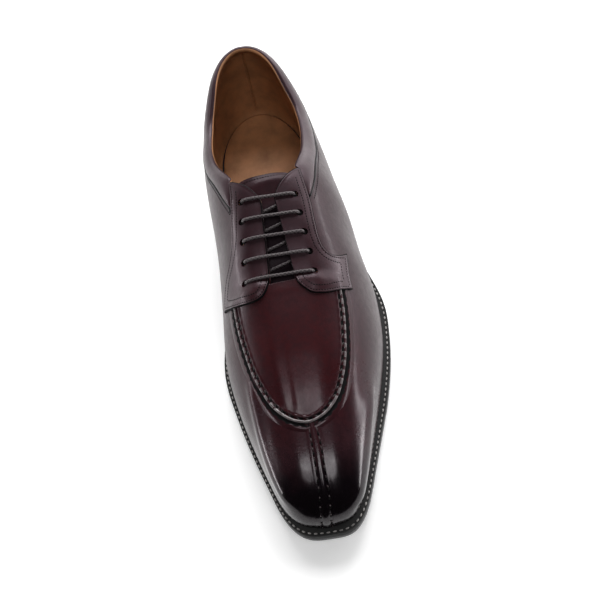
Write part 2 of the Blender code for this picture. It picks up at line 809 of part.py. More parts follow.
def main():
    clear_scene()
    shoe = new_collection("derby_shoe")
    cutters = new_collection("cutters")
    punch = build_punch(cutters)
    build_outsole(shoe)
    build_heel(shoe)
    build_welt(shoe)
    build_insole(shoe)
    build_upper(shoe, punch)
    build_tongue(shoe)
    build_apron(shoe)
    build_facing("facing_lateral", LATERAL, FACING_LATERAL, shoe, punch)
    build_facing("facing_medial", MEDIAL, FACING_MEDIAL, shoe, punch)
    build_collar(shoe)
    build_toe_seam(shoe)
    build_lace(shoe)


main()
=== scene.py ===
"""Dresses the solids of a left split-toe derby shoe: lasted leather panels, stitches, lace, sole and studio.

Tables and lengths in the shaping functions are in millimetres along the last; MM turns them into metres.
A station is a distance along the sole, from the back of the heel to the tip of the toe.
Across is a distance from the long axis, positive to the outer side of the foot.
"""

import math
from collections import namedtuple

import bmesh
import bpy
import numpy as np
from mathutils import Matrix, Vector


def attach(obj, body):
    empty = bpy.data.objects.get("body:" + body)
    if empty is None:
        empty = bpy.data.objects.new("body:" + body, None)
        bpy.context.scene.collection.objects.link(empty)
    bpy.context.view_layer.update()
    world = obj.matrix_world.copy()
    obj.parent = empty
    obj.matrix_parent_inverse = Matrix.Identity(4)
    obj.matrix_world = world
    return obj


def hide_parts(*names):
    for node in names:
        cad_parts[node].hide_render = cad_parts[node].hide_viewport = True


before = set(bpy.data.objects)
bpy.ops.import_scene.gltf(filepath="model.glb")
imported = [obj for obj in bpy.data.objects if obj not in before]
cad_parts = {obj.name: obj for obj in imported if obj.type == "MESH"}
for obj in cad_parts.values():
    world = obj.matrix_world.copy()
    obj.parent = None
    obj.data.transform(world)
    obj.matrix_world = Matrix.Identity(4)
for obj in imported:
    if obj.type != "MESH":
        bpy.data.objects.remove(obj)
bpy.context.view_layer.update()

bl_info = {
    "name": "Split-toe derby shoe",
    "version": (1, 0, 0),
    "blender": (4, 5, 0),
    "location": "View3D > Sidebar > Derby",
    "description": "Builds the finished look of a left split-toe derby shoe around its solids",
    "category": "Object",
}

MM = 0.001
RIGHT_ANGLE = math.pi / 2
LATERAL, MEDIAL = 1, -1
SIDE_NAMES = {LATERAL: "lateral", MEDIAL: "medial"}

# Driving sizes of the last and the sole
SOLE_LENGTH = 304.0
HEEL_CENTRE = 52.0
TOE_CENTRE = 272.0
HEEL_BREAST = 74.0
OUTSOLE_THICKNESS = 5.0
WELT_THICKNESS = 3.0
INSOLE_THICKNESS = 2.5
WALL_THICKNESS = 2.0
WELT_UNDER_FOOT = 9.0
SEAT_GAP = 0.3
HEEL_END_SQUARE = 2.1
TOE_END_SQUARE = {LATERAL: 4.3, MEDIAL: 3.1}
TOE_TURN_FROM = 258.0
TOE_TURN_IN = 2.3
TOE_TURN_SLANT = 0.045
TOE_TURN_ABOUT = 2.7

# One row for each section of the last, from heel to toe.
# sole: edge of the sole from the long axis; margin: from there in to the widest line of the upper;
# tuck: from the widest line in to the upper's lower edge; tread: underside of the outsole over the floor;
# ridge: the upper's centre line; crown: height of the closed last there;
# flat: how flat the section is on top; flank: how straight it falls to its side;
# swell: height of the widest line over the welt.
Section = namedtuple(
    "Section",
    "station sole_med sole_lat margin_med margin_lat tuck_med tuck_lat tread ridge crown"
    " flat_med flat_lat flank_med flank_lat swell",
)
LAST = [
    Section(0, 26.0, 26.0, 1.0, 1.0, 3.0, 3.0, 24.0, 0.0, 146.0, 2.25, 2.25, 0.45, 0.45, 22),
    Section(24, 31.0, 31.0, -1.5, -1.5, 4.0, 4.0, 23.2, 0.0, 114.0, 2.25, 2.25, 0.45, 0.45, 22),
    Section(52, 32.5, 33.5, -4.5, -2.5, 5.5, 4.5, 22.0, 0.0, 93.0, 2.25, 2.25, 0.45, 0.45, 22),
    Section(80, 30.0, 35.5, -9.0, -4.5, 9.0, 6.0, 19.3, 0.2, 93.0, 2.8, 2.2, 0.36, 0.45, 22),
    Section(112, 28.0, 41.5, -11.0, -4.0, 11.0, 7.0, 11.0, 0.3, 100.5, 2.7, 2.4, 0.48, 0.55, 21),
    Section(140, 37.5, 51.5, -3.5, 3.0, 7.0, 4.0, 4.5, 0.1, 93.4, 2.8, 2.8, 0.70, 0.75, 18),
    Section(165, 46.0, 57.2, 2.2, 5.0, 3.3, 3.0, 1.0, 0.0, 83.5, 2.75, 2.8, 0.67, 0.75, 12),
    Section(190, 49.4, 54.6, 3.6, 3.9, 2.6, 2.6, 0.0, -0.2, 73.8, 2.55, 2.55, 0.57, 0.57, 8.3),
    Section(220, 44.9, 47.5, 2.5, 4.0, 2.5, 2.5, 0.0, -0.4, 62.9, 2.5, 2.45, 0.5, 0.48, 7),
    Section(248, 38.3, 37.4, 2.1, 2.9, 2.4, 2.4, 1.6, -0.6, 52.8, 2.5, 2.4, 0.44, 0.37, 3.8),
    Section(272, 31.1, 28.7, 1.8, 2.4, 2.4, 2.4, 4.6, -0.8, 45.5, 2.75, 2.65, 0.37, 0.315, 2.6),
    Section(304, 20.5, 19.5, 4.4, 4.4, 2.4, 2.4, 10.5, -0.8, 33.0, 2.8, 2.8, 0.36, 0.31, 2.6),
]
MIDDLE_X = (max(row.sole_lat for row in LAST) - max(row.sole_med for row in LAST)) / 2

# Heights over the floor: the collar's topline, and the lower edge of its band
Line = namedtuple("Line", "station height")
TOPLINE = [Line(0, 98.0), Line(20, 93.0), Line(56, 80.5), Line(86, 84.5), Line(112, 96.0), Line(126, 97.0)]
COLLAR_LINE = [
    Line(0, 90.5), Line(20, 85.5), Line(56, 73.0), Line(86, 77.3),
    Line(103, 84.6), Line(112, 87.5), Line(120, 88.9), Line(126, 89.7), Line(133, 90.0),
]

# Throat: the slot between the facings, as half widths about the centre line; it opens to the top by a power
FACING_TOP = 112.0
FACING_TOP_HALF = 20.3
SLOT_TOP = 131.0
SLOT_TOP_HALF = 3.7
SLOT_END = 183.0
SLOT_END_HALF = 7.4
SLOT_ROUNDING = 4.0
SLOT_CURVE = 1.6

# Plan lines of the facings, across and station:
# front edge from the throat outwards, wing, then the seam upwards
FACING_FRONT = {
    LATERAL: [(7.2, 174.0), (7.6, 177.0), (8.7, 179.6), (11.1, 182.3), (14.4, 184.8), (18.5, 185.4),
              (22.8, 185.1), (28.9, 183.1), (36.8, 179.6)],
    MEDIAL: [(7.0, 170.0), (7.6, 174.4), (9.1, 178.3), (11.4, 181.4), (14.7, 183.1), (18.8, 183.1),
             (24.4, 181.6), (30.4, 178.8), (37.7, 172.4)],
}
FACING_WING = {
    LATERAL: [(36.8, 179.6), (36.6, 171.2), (37.0, 164.7), (37.4, 158.4)],
    MEDIAL: [],
}
FACING_SEAM = {
    LATERAL: [(37.4, 158.4), (33.6, 161.6), (29.8, 162.8), (27.2, 162.0), (25.1, 159.3), (23.9, 154.3),
              (23.4, 146.2), (23.2, 133.9), (22.0, 123.1), (20.8, 113.2)],
    MEDIAL: [(37.7, 172.4), (36.2, 166.0), (33.6, 160.4), (29.4, 154.7), (25.6, 146.8), (23.8, 139.0),
             (22.2, 130.8), (20.9, 122.6), (20.4, 113.2)],
}

# Stitch rows of a facing, as distances in from its edge, and the width of its inked edge
FACING_ROWS = (1.4, 4.1)
INKED_EDGE = 0.5

# Soft puckers in the facings: plan place, height and spread.
# Soft troughs under the bars of the lace: depth and spread
FACING_PUCKERS = [((-18.0, 176.0), 1.0, 7.0), ((18.5, 178.5), 0.4, 4.0)]
BAR_TROUGH = 0.25
BAR_SPREAD = 2.6

# A facing lies back from the slot's edge. Heights over the last of its underside and of where its thickness
# starts; depth and spread of its sewn channel; station and half width of its step onto the apron, with fades
FACING_BACK = 0.2
FACING_UNDERSIDE = 0.06
FACING_SEAT = 0.1
CHANNEL_DEPTH = 0.16
CHANNEL_SPREAD = 0.4
STEP_STATION = 172.0
STEP_HALF = 33.0
STEP_FADES = (6.0, 3.0)

# Cut edges of the panels: radius of the round shoulder, and height of the cut face under it
APRON_CUT = (0.5, 0.3)
FACING_CUT = (0.7, 0.3)
TONGUE_CUT = (0.9, 0.2)

# How far the pulled lace sinks the throat, between which stations, how it fades there, its half width and
# the power it falls off by, and the height below which the wall isn't sunk
THROAT_SINK = 1.7
THROAT_RUN = (115.0, 184.0)
THROAT_FADE = 12.0
THROAT_HALF = 17.5
THROAT_CURVE = 1.3
THROAT_ABOVE = 50

# Ridges where the toe's top turns into its flanks:
# points at station, x and height, then side, height and inner spread
FLANK_RIDGES = [
    ([(222, 39.5, 34.6), (246, 33.0, 35.2), (267, 27.4, 32.4), (286, 21.6, 30.0), (293, 16.8, 28.8),
      (297, 10.0, 28.8)], LATERAL, 2.0, 7.0),
    ([(210, -30.4, 55.0), (231, -30.2, 47.3), (253, -29.4, 38.9), (275, -24.6, 34.2), (286, -19.6, 32.0),
      (293, -12.2, 30.2)], MEDIAL, 1.3, 4.6),
]
RIDGE_OUTER_SPREAD = 3.4
RIDGE_FADES = (24, 16)

# Apron: half of its outline, from the middle of the front to where it runs under the facing, then its rear
# edge; heights over the last of its plain top and its underside, its least thickness, and how far it swells
# from a station on, away from the seam
APRON_EDGE = [(0.0, 252.0), (5.8, 250.7), (10.2, 248.4), (14.4, 244.6), (18.6, 239.2), (23.0, 229.6),
              (26.6, 218.0), (29.0, 205.0), (30.5, 193.0), (30.9, 183.0), (30.9, 177.0)]
APRON_REAR = [(-24.0, 174.5), (-12.0, 174.5), (-8.0, 176.0)]
APRON_FLAT = 0.95
APRON_UNDERSIDE = 0.05
APRON_LEAST = 0.5
APRON_PLUMP = 1.5
PLUMP_FROM = 192
PLUMP_FADE = 26
PLUMP_REACH = 24

# Rows along the apron's seam: middle and width as shares of the lip's width, and how far stitches swell them
SeamRow = namedtuple("SeamRow", "middle width swell")
LIP_ROW = SeamRow(0.45, 0.24, 0.3)
VALLEY_ROW = SeamRow(1.0, 0.22, 0.0)
BEAD_ROW = SeamRow(1.5, 0.24, 0.5)
VALLEY_DEPTH = 0.6
BEAD_HEIGHT = 0.36
SEWN_FROM = 184.0

# Pulls in the apron along a slanting line: distance from the line, spread and height
APRON_PULLS = [(6.0, 2.9, 0.3), (0.0, 2.0, -0.24)]
PULL_LINE = 6.1
PULL_SLANT = 0.02
PULL_ABOUT = 200
PULL_RUN = (190, 249)
PULL_FADES = (22, 10)

# Finishes on the lip, as distances in from the seam: a painted highlight on the crest, and painted shade at
# the seam's edge and in the gaps between stitches. The crest's painted highlight is beaded behind LIP_FRONT
# and whole in front of it
LIP_CREST = (0.35, 1.6)
SEWN_GAP = (1.75, 2.8)
LIP_FRONT = 240.0
CREST_BEADS = -0.3
GAP_BEADS = 0.35

# The vamp beside the apron's lip: distance out from the seam and height, a groove first, its rows painted
# dark as shade
VAMP_SHOULDER = [(-1.0, 0.0), (0.0, 0.02), (0.6, 0.03), (1.1, 0.2), (1.45, 0.4), (1.7, 0.52), (2.0, 0.56),
                 (2.4, 0.52), (3.0, 0.38), (3.6, 0.2), (4.2, 0.0), (4.7, -0.25)]
VAMP_UNDERSIDE = [(4.7, -0.6), (1.7, -0.6), (-1.0, -0.6)]
GROOVE_ROWS = 5
GROOVE_NOTCH = 0.9

# Collar band: where it ends beside the facings and its gap to their seam; height of its lower edge over the
# wall, thickness, and the widths from which padding and thickness are full; share of its width that rounds
# the lower edge, and the power that fills the padding
COLLAR_END = 131.0
COLLAR_GAP = 0.25
COLLAR_SEAT = 0.05
COLLAR_THICKNESS = 0.85
COLLAR_PAD_WIDTH = 6
COLLAR_FULL_WIDTH = 2
COLLAR_ROUNDING = 0.1
COLLAR_FULLNESS = 0.8

# Roll over the collar's edge: how far it passes the wall's inside, its height as a share of its radius, how
# many of its last rows are lined, and its hem inside as drop and share of the depth
ROLL_INSIDE = 0.35
ROLL_HEIGHT = 0.75
ROLL_LINED = 6
ROLL_HEM = [(1.5, 1.0), (3.2, 1.0), (3.4, 0.9), (0.0, 0.88)]

# Piping under the band: shares of its radius by which it lies out from the wall and below the band
PIPING_OUT = 0.75
PIPING_DOWN = 0.4

# Tongue under the facings; it sinks from a station on, over a length
TONGUE_THICKNESS = 2.0
TONGUE_TOP = 110.0
TONGUE_ROOT = 190.0
TONGUE_HALF = 24.0
TONGUE_DROP = 5.4
TONGUE_CORNER = 3.0
TONGUE_TAPER = 2
TONGUE_SINKS = (196.0, 18.0)

# Soft waves in the tongue: height, rates along and across, and the station and length of their fade
TONGUE_WAVE = 0.25
TONGUE_WAVE_RATES = (0.33, 0.12)
TONGUE_WAVE_END = (178, 10)

# Seam down the toe: its middle and half width along the station
ToeSeam = namedtuple("ToeSeam", "station middle half")
TOE_SEAM = [
    ToeSeam(250.0, 0.4, 1.6), ToeSeam(264.0, 0.95, 2.3), ToeSeam(276.0, 0.8, 2.2),
    ToeSeam(286.0, 1.0, 2.5), ToeSeam(293.0, 0.4, 2.7), ToeSeam(300.0, -0.3, 2.7),
]
TOE_SEAM_START = 251.0

# Section of the toe seam from its foot to its crown: distance out as a share of the half width, and height.
# Its underside lies level, a little below the toe
TOE_SEAM_SIDE = [(2.2, 0.01), (1.8, 0.12), (1.45, 0.32), (1.2, 0.3), (1.0, 0.04), (0.8, 0.34), (0.5, 0.72)]
TOE_SEAM_CROWN = 0.86
TOE_SEAM_UNDER = 0.3
TOE_SEAM_BOTTOM = (2.2, 0.7, -0.7, -2.2)

# Edges of the plates: inset from the outline, and share of the thickness from the top down
OUTSOLE_EDGE = [(1.0, 0.0), (0.45, 0.02), (0.12, 0.1), (0.0, 0.24), (0.0, 0.5), (0.0, 0.76), (0.15, 0.9),
                (0.5, 0.98), (1.2, 1.0)]
HEEL_EDGE = [(1.0, 0.0), (0.4, 0.005), (0.1, 0.03), (0.25, 0.2), (0.6, 0.45), (0.9, 0.7), (0.95, 0.95),
             (1.2, 0.985), (1.9, 1.0)]
INSOLE_EDGE = [(1.0, 0.0), (0.4, 0.1), (0.0, 0.4), (0.0, 0.8), (0.3, 1.0)]

# Eyelets, the first pair at the top, and the room round each in the wall below
EYELET_RADIUS = 1.9
EYELET_ROOM = 0.7
EYELET_ROWS = 5
EYELET_STEP = 10.8
EYELET_FIRST = {LATERAL: 130.2, MEDIAL: 128.2}
EYELET_OUT = {LATERAL: 15.6, MEDIAL: 15.0}
EYELET_SPREAD = {LATERAL: 0.6, MEDIAL: 1.4}

# Lace: height over the last on its bars, depth below it under the facings, and sag of a bar
LACE_OVER = 2.6
LACE_UNDER = 3.7
LACE_SAG = 0.15

# Stitches: length as a share of the pitch, then width and height. Dark holes and eyelet discs, both painted
# shade: length, width and height
WELT_STITCH = (0.62, 1.0, 0.7)
HAND_STITCH = (0.62, 0.85, 0.75)
FACING_STITCH = (0.75, 0.6, 0.4)
COLLAR_STITCH = (0.8, 0.42, 0.36)
TONGUE_STITCH = (0.8, 0.45, 0.4)
HAND_STITCH_SLANT = 0.5
LIP_HOLE = (1.7, 1.2, 0.5)
TOE_HOLE = (2.3, 1.4, 0.9)
# Size of the dark discs of painted shade in the eyelets
EYELET_SHADE_DISC = (3.0, 3.0, 0.3)

# Rows of stitches: on the welt, a share of its margin in from the sole's edge, with the least and the most;
# on the quarters, down from the collar band; on the tongue, in from its sides and down from its top
WELT_ROW_SHARE = 0.45
WELT_ROW_LIMITS = (0.95, 1.8)
COLLAR_ROW = 2.6
TONGUE_ROW_ENDS = 2.5
TONGUE_ROW = 3.2

# Leather: stations over which the toe darkens, smooths and takes its wax; middle and reach in metres of the
# red on the vamp, and its share lengthwise; how far the clouds shift them; fade length of the tongue's
# painted shade
TOE_DARKENS = (262.0, 284.0)
TOE_SMOOTHS = (185.0, 272.0)
TOE_WAXED = (225.0, 276.0)
RED_MIDDLE = 208.0
RED_REACH = (0.048, 0.012)
RED_LENGTHWISE = 0.75
CLOUD_DRIFT = 0.03
SHADE_LENGTH = 9.0

# The upper's cut edge is raw over a height in metres and behind a station, with a short fade in each
RAW_ABOVE = (0.062, 0.07)
RAW_BEHIND = (133.0, 126.0)

# Camera: place in metres, and turns in degrees about the object, up from the floor and about its own axis
CAMERA_PLACE = (0.018073, -0.304035, 0.500707)
CAMERA_AZIMUTH = 3.153
CAMERA_ELEVATION = 57.806
CAMERA_ROLL = -14.182
CAMERA_LENS = 54.4
SENSOR_WIDTH = 36.0

# Studio in metres. The room's brightness is as the camera sees it, and the floor ends in front of the walls
SEEN_ROOM = 0.9
FLOOR_RADIUS = 1.24
FLOOR_SIDES = 96

# Soft lights: place, what each points at, width and height, and share of a brightness in the sidebar
Light = namedtuple("Light", "name place target size setting share")
LIGHTS = [
    Light("back_wall", (0.0, 1.35, 0.7), (0.0, 0.0, 0.7), (2.0, 1.4), "wall_light", 0.75),
    Light("inner_wall", (-1.02, 0.72, 0.75), (0.0, 0.0, 0.75), (1.3, 1.5), "wall_light", 0.5),
    Light("outer_wall", (0.985, 0.77, 0.75), (0.0, 0.0, 0.75), (1.5, 1.5), "wall_light", 1.35),
    Light("top_light", (0.18, -0.55, 0.92), (0.0, -0.11, 0.04), (0.4, 0.18), "top_light", 1.0),
    Light("second_light", (-0.25, -0.51, 0.92), (0.0, -0.11, 0.04), (0.22, 0.22), "top_light", 0.55),
    Light("apron_light", (0.0, -0.41, 1.02), (0.0, -0.08, 0.06), (0.72, 0.13), "top_light", 1.05),
    Light("inner_strip", (-1.15, 0.05, 0.17), (0.0, 0.0, 0.05), (1.0, 0.12), "strip_light", 1.0),
    Light("outer_strip", (1.15, 0.05, 0.17), (0.0, 0.0, 0.05), (1.0, 0.12), "strip_light", 1.0),
    Light("key_light", (0.15, 0.85, 1.2), (0.0, 0.0, 0.03), (1.0, 0.6), "key_light", 1.0),
]

# Mesh fineness
RING_SPOKES = 190
BREAST_SPOKES = 60
WALL_ROWS = 58
COLLAR_ROWS = 15
ROLL_ROWS = 13
PIPING_STEPS = 360
TOE_SEAM_STEPS = 80
FAIRING_ROUNDS = 6
PANEL_PITCH = 1.3
TONGUE_PITCH = 1.6
LACE_PITCH = 0.7
TABLE_STEP = 0.25
FAIRING_LENGTH = 6.0
SHORT_FAIRING = 3.0
SWING_STEPS = 600
RUN_STEPS = 900
SPOKE_STEPS = 260
EDGE_INSETS = (0.12, 0.2, 0.28, 0.3, 0.3, 0.3)
LIP_INSETS = (0.12, 0.2, 0.28, *[0.33] * 13)
CROWDED = 0.45
MERGE_DISTANCE = 0.000004
NO_LENGTH = 0.000002


def slopes_through(xs, ys):
    """Slopes of the monotone cubic through the points: flat runs stay flat and nothing overshoots."""
    steps = np.diff(xs)
    rises = np.diff(ys) / steps
    slopes = np.zeros(len(xs))
    slopes[0], slopes[-1] = rises[0], rises[-1]
    for i in range(1, len(xs) - 1):
        before, after = rises[i - 1], rises[i]
        if before * after > 0:
            near, far = steps[i] * 2 + steps[i - 1], steps[i] + steps[i - 1] * 2
            slopes[i] = (near + far) / (near / before + far / after)
    return slopes


class Curve:
    """A faired curve through the rows of a table, read by one of its columns."""

    def __init__(self, rows, column, fairing=FAIRING_LENGTH):
        xs = np.array([row[0] for row in rows], float)
        ys = np.array([getattr(row, column) for row in rows], float)
        slopes = slopes_through(xs, ys)
        count = round((xs[-1] - xs[0]) / TABLE_STEP)
        self.xs = np.linspace(xs[0], xs[-1], count + 1)
        i = np.clip(np.searchsorted(xs, self.xs) - 1, 0, len(xs) - 2)
        step = xs[i + 1] - xs[i]
        t = (self.xs - xs[i]) / step
        leave, arrive = slopes[i] * step, slopes[i + 1] * step
        rise = (ys[i + 1] - ys[i]) * t * t * (3 - 2 * t)
        self.ys = self.fair(ys[i] + rise + leave * t * (1 - t) ** 2 - arrive * t * t * (1 - t), fairing)

    @staticmethod
    def fair(ys, length):
        """The values averaged along the curve; both ends stay where they are."""
        if length == 0:
            return ys
        reach = round(3 * length / TABLE_STEP)
        reach = min(reach, len(ys) - 1)
        weights = np.exp(-0.5 * (np.arange(-reach, reach + 1) * TABLE_STEP / length) ** 2)
        before = 2 * ys[0] - ys[reach:0:-1]
        after = 2 * ys[-1] - ys[-2:-reach - 2:-1]
        return np.convolve(np.concatenate([before, ys, after]), weights / weights.sum(), "valid")

    def __call__(self, x):
        return np.interp(x, self.xs, self.ys)


LAST_CURVES = {name: Curve(LAST, name) for name in Section._fields[1:]}
TOPLINE_HEIGHT = Curve(TOPLINE, "height")
COLLAR_HEIGHT = Curve(COLLAR_LINE, "height", SHORT_FAIRING)
SEAM_MIDDLE = Curve(TOE_SEAM, "middle", SHORT_FAIRING)
SEAM_HALF = Curve(TOE_SEAM, "half", SHORT_FAIRING)


def place(points):
    """Points of the shoe as rows of x, station and height in millimetres, in the frame's metres.

    The toe turns a little to the inner side, and its end slants.
    """
    points = np.asarray(points, float)
    x, station = points[..., 0], points[..., 1]
    turned = (np.maximum(station - TOE_TURN_FROM, 0.0) / (SOLE_LENGTH - TOE_TURN_FROM)) ** 2
    ahead = station + TOE_TURN_SLANT * (x - TOE_TURN_ABOUT) * turned
    return np.stack([x - TOE_TURN_IN * turned - MIDDLE_X, SOLE_LENGTH / 2 - ahead, points[..., 2]], -1) * MM


def ease(share):
    """A smooth step from 0 to 1."""
    share = np.clip(share, 0.0, 1.0)
    return share * share * (3 - 2 * share)


def last(column, station, side=None):
    """A column of the last at a station; sided columns take the side of the foot."""
    if side is None:
        return LAST_CURVES[column](station)
    outer, inner = LAST_CURVES[column + "_lat"], LAST_CURVES[column + "_med"]
    return np.where(np.asarray(side) > 0, outer(station), inner(station))


def outsole_top(station):
    return last("tread", station) + OUTSOLE_THICKNESS


def welt_top(station):
    return outsole_top(station) + SEAT_GAP + WELT_THICKNESS


def feather_height(station):
    """Lower edge of the upper, where it stands on the welt."""
    return welt_top(station) + SEAT_GAP


def swell_height(station):
    return welt_top(station) + last("swell", station)


def swell_inset(side, station):
    """From the sole's edge in to the widest line of the upper."""
    return last("margin", station, side)


def feather_inset(side, station):
    """From the sole's edge in to the upper's lower edge."""
    return last("margin", station, side) + last("tuck", station, side)


def even_inset(width):
    """An inset that is the same all round the sole."""
    return lambda side, station: np.full(np.shape(station), width)


def half_width(side, station, inset):
    """From the ridge line out to the sole's edge, less the inset."""
    return last("sole", station, side) - side * last("ridge", station) - inset(side, station)


# Spokes run out from the ridge line, as arrays. Along the foot a spoke is square to the axis and swing is 0.
# Round the toe it swings from 0 to a right angle about the toe centre, and round the heel to minus one.
Spokes = namedtuple("Spokes", "side root swing")


def edge_point(spokes, inset):
    """Plan places, x and station, where spokes meet the outline that lies inset from the sole's edge."""
    side, root, swing = spokes
    straight_x = last("ridge", root) + side * half_width(side, root, inset)
    toe = swing > 0
    centre, way = np.where(toe, TOE_CENTRE, HEEL_CENTRE), np.where(toe, 1.0, -1.0)
    reach = np.where(toe, SOLE_LENGTH - TOE_CENTRE, HEEL_CENTRE)
    toe_square = np.where(np.asarray(side) > 0, TOE_END_SQUARE[LATERAL], TOE_END_SQUARE[MEDIAL])
    power = 2 / np.where(toe, toe_square, HEEL_END_SQUARE)
    reach = reach - inset(side, centre + way * reach)
    angle = np.minimum(np.abs(swing), RIGHT_ANGLE)
    ahead = reach * np.sin(angle) ** power
    here, behind = half_width(side, centre, inset), half_width(side, centre - way, inset)
    half = (here - (behind - here) * ahead) * np.maximum(np.cos(angle), 0.0) ** power
    swung_x = last("ridge", centre) + side * half
    return np.where(swing == 0, straight_x, swung_x), np.where(swing == 0, root, centre + way * ahead)


def spoke_point(spokes, turn):
    """Points of the upper's outside on spokes, as x, station and height.

    turn is -1 at the lower edge, 0 at the widest line and 1 at the ridge of the closed last.
    """
    wide_x, wide_station = edge_point(spokes, swell_inset)
    low_x, low_station = edge_point(spokes, feather_inset)
    wide_height = swell_height(wide_station)
    under = np.clip(-turn, 0.0, 1.0) * RIGHT_ANGLE
    tuck = 1 - np.cos(under)
    drop = (wide_height - feather_height(low_station)) * np.sin(under)
    over = np.clip(turn, 0.0, 1.0) * RIGHT_ANGLE
    out = np.maximum(np.cos(over), 0.0) ** (2 / last("flat", spokes.root, spokes.side))
    up = np.sin(over) ** (2 * last("flank", spokes.root, spokes.side))
    root_x = last("ridge", spokes.root)
    x = root_x + (wide_x - root_x) * out + (low_x - wide_x) * tuck
    over_station = spokes.root + (wide_station - spokes.root) * out
    height = wide_height + (last("crown", over_station) - wide_height) * up - drop
    return np.stack([x, over_station + (low_station - wide_station) * tuck, height], -1)


def turn_for_height(spokes, height):
    """The turns at which spokes of the heel or quarters reach a height."""
    low, high = np.zeros(len(spokes.side)), np.ones(len(spokes.side))
    for _ in range(40):
        turn = (low + high) / 2
        under = spoke_point(spokes, turn)[:, 2] < height
        low, high = np.where(under, turn, low), np.where(under, high, turn)
    return turn


def turn_for_half(spokes, half):
    """The turns at which spokes along the foot lie half from the ridge line."""
    share = np.clip(half / half_width(spokes.side, spokes.root, swell_inset), 0.0, 1.0)
    return np.arccos(share ** (last("flat", spokes.root, spokes.side) / 2)) / RIGHT_ANGLE


def throat_sink(across, station):
    """How far the pulled lace flattens the upper between the eyelets."""
    start, end = THROAT_RUN
    depth = THROAT_SINK * ease((station - start) / THROAT_FADE) * ease((end - station) / THROAT_FADE)
    return depth * np.maximum(1 - (across / THROAT_HALF) ** 2, 0.0) ** THROAT_CURVE


def height_over(across, station):
    """Height of the upper's outside over a plan place behind the toe centre."""
    side = np.where(across >= 0, LATERAL, MEDIAL)
    share = np.minimum(np.abs(across) / half_width(side, station, swell_inset), 1.0)
    wide_height = swell_height(station)
    left = 1 - share ** last("flat", station, side)
    height = wide_height + (last("crown", station) - wide_height) * left ** last("flank", station, side)
    return height - throat_sink(across, station)


def over_last(across, station, lift=0.0):
    """Points over plan places on the top of the upper, lifted along the surface's normal."""
    across, station = np.asarray(across, float), np.asarray(station, float)
    nudge = 0.5
    rise_x = (height_over(across + nudge, station) - height_over(across - nudge, station)) / (2 * nudge)
    rise_s = (height_over(across, station + nudge) - height_over(across, station - nudge)) / (2 * nudge)
    share = lift / np.sqrt(1 + rise_x**2 + rise_s**2)
    x = last("ridge", station) + across - rise_x * share
    return np.stack([x, station - rise_s * share, height_over(across, station) + share], -1)


def slot_half(station):
    """Half width of the opening at a station, from the top of the facings to the end of the throat."""
    left = np.clip((SLOT_TOP - station) / (SLOT_TOP - FACING_TOP), 0.0, 1.0)
    share = np.clip((station - SLOT_TOP) / (SLOT_END - SLOT_TOP), 0.0, 1.0)
    from_end = np.clip((SLOT_END - station) / SLOT_ROUNDING, 0.0, 1.0)
    half = SLOT_TOP_HALF + (FACING_TOP_HALF - SLOT_TOP_HALF) * left**SLOT_CURVE
    return (half + (SLOT_END_HALF - SLOT_TOP_HALF) * share) * np.sqrt(1 - (1 - from_end) ** 2)


def eyelet(side, row):
    """Plan place of an eyelet, across and station; row 0 is at the top."""
    return side * (EYELET_OUT[side] + EYELET_SPREAD[side] * row), EYELET_FIRST[side] + EYELET_STEP * row


def all_eyelets():
    return [eyelet(side, row) for side in (LATERAL, MEDIAL) for row in range(EYELET_ROWS)]


def lengths_along(points):
    """Distance from the first point to each point along a line."""
    steps = np.linalg.norm(np.diff(points, axis=0), axis=1)
    return np.concatenate([[0.0], np.cumsum(steps)])


def nearest_on_line(points, line):
    """Shortest distance from each point to an open line, and how far along the line that is."""
    best, along = np.full(len(points), np.inf), np.zeros(len(points))
    for start, end, done in zip(line[:-1], line[1:], lengths_along(line)):
        run = end - start
        share = np.clip((points - start) @ run / (run @ run), 0.0, 1.0)
        away = np.linalg.norm(points - start - share[:, None] * run, axis=1)
        along = np.where(away < best, done + share * np.linalg.norm(run), along)
        best = np.minimum(best, away)
    return best, along


def distance_to_line(points, line):
    return nearest_on_line(points, line)[0]


def distance_to_outline(points, outline):
    """Shortest plan distance from each point to a closed line."""
    return distance_to_line(points, np.concatenate([outline, outline[:1]]))


def resample(points, count):
    """The same line with evenly spaced points."""
    along = lengths_along(points)
    even = np.linspace(0.0, along[-1], count)
    return np.stack([np.interp(even, along, points[:, i]) for i in range(points.shape[1])], -1)


def smooth_line(points, spacing):
    """Evenly spaced points on a smooth curve through the given ones."""
    points = np.asarray(points, float)
    if len(points) > 2:
        t = lengths_along(points)
        slopes = np.gradient(points, t, axis=0)
        parts = []
        for i in range(len(points) - 1):
            step = t[i + 1] - t[i]
            u = np.linspace(0, 1, 24)[:, None]
            rise = (points[i + 1] - points[i]) * u * u * (3 - 2 * u)
            bend = slopes[i] * step * u * (1 - u) ** 2 - slopes[i + 1] * step * u * u * (1 - u)
            parts.append((points[i] + rise + bend)[:-1])
        points = np.concatenate([*parts, points[-1:]])
    return resample(points, max(round(lengths_along(points)[-1] / spacing), 2) + 1)


def side_ring(side, count):
    """Spokes of one side from the back of the heel to the tip of the toe, even along the widest line."""
    sweep = RIGHT_ANGLE * ease(np.linspace(0, 1, SWING_STEPS))
    along = np.linspace(HEEL_CENTRE, TOE_CENTRE, RUN_STEPS)
    root = np.concatenate([np.full(SWING_STEPS, HEEL_CENTRE), along, np.full(SWING_STEPS, TOE_CENTRE)])
    swing = np.concatenate([-sweep[::-1], np.zeros(RUN_STEPS), sweep])
    plan = np.stack(edge_point(Spokes(np.full(len(root), side), root, swing), swell_inset), -1)
    length = lengths_along(plan)
    even = np.linspace(0, length[-1], count + 1)
    return Spokes(np.full(count + 1, side), np.interp(even, length, root), np.interp(even, length, swing))


def full_ring(count):
    """Spokes once round the foot, from the back of the heel by the outer side and home by the inner."""
    outer, inner = side_ring(LATERAL, count), side_ring(MEDIAL, count)
    return Spokes(*(np.concatenate([a, b[::-1][1:]]) for a, b in zip(outer, inner)))


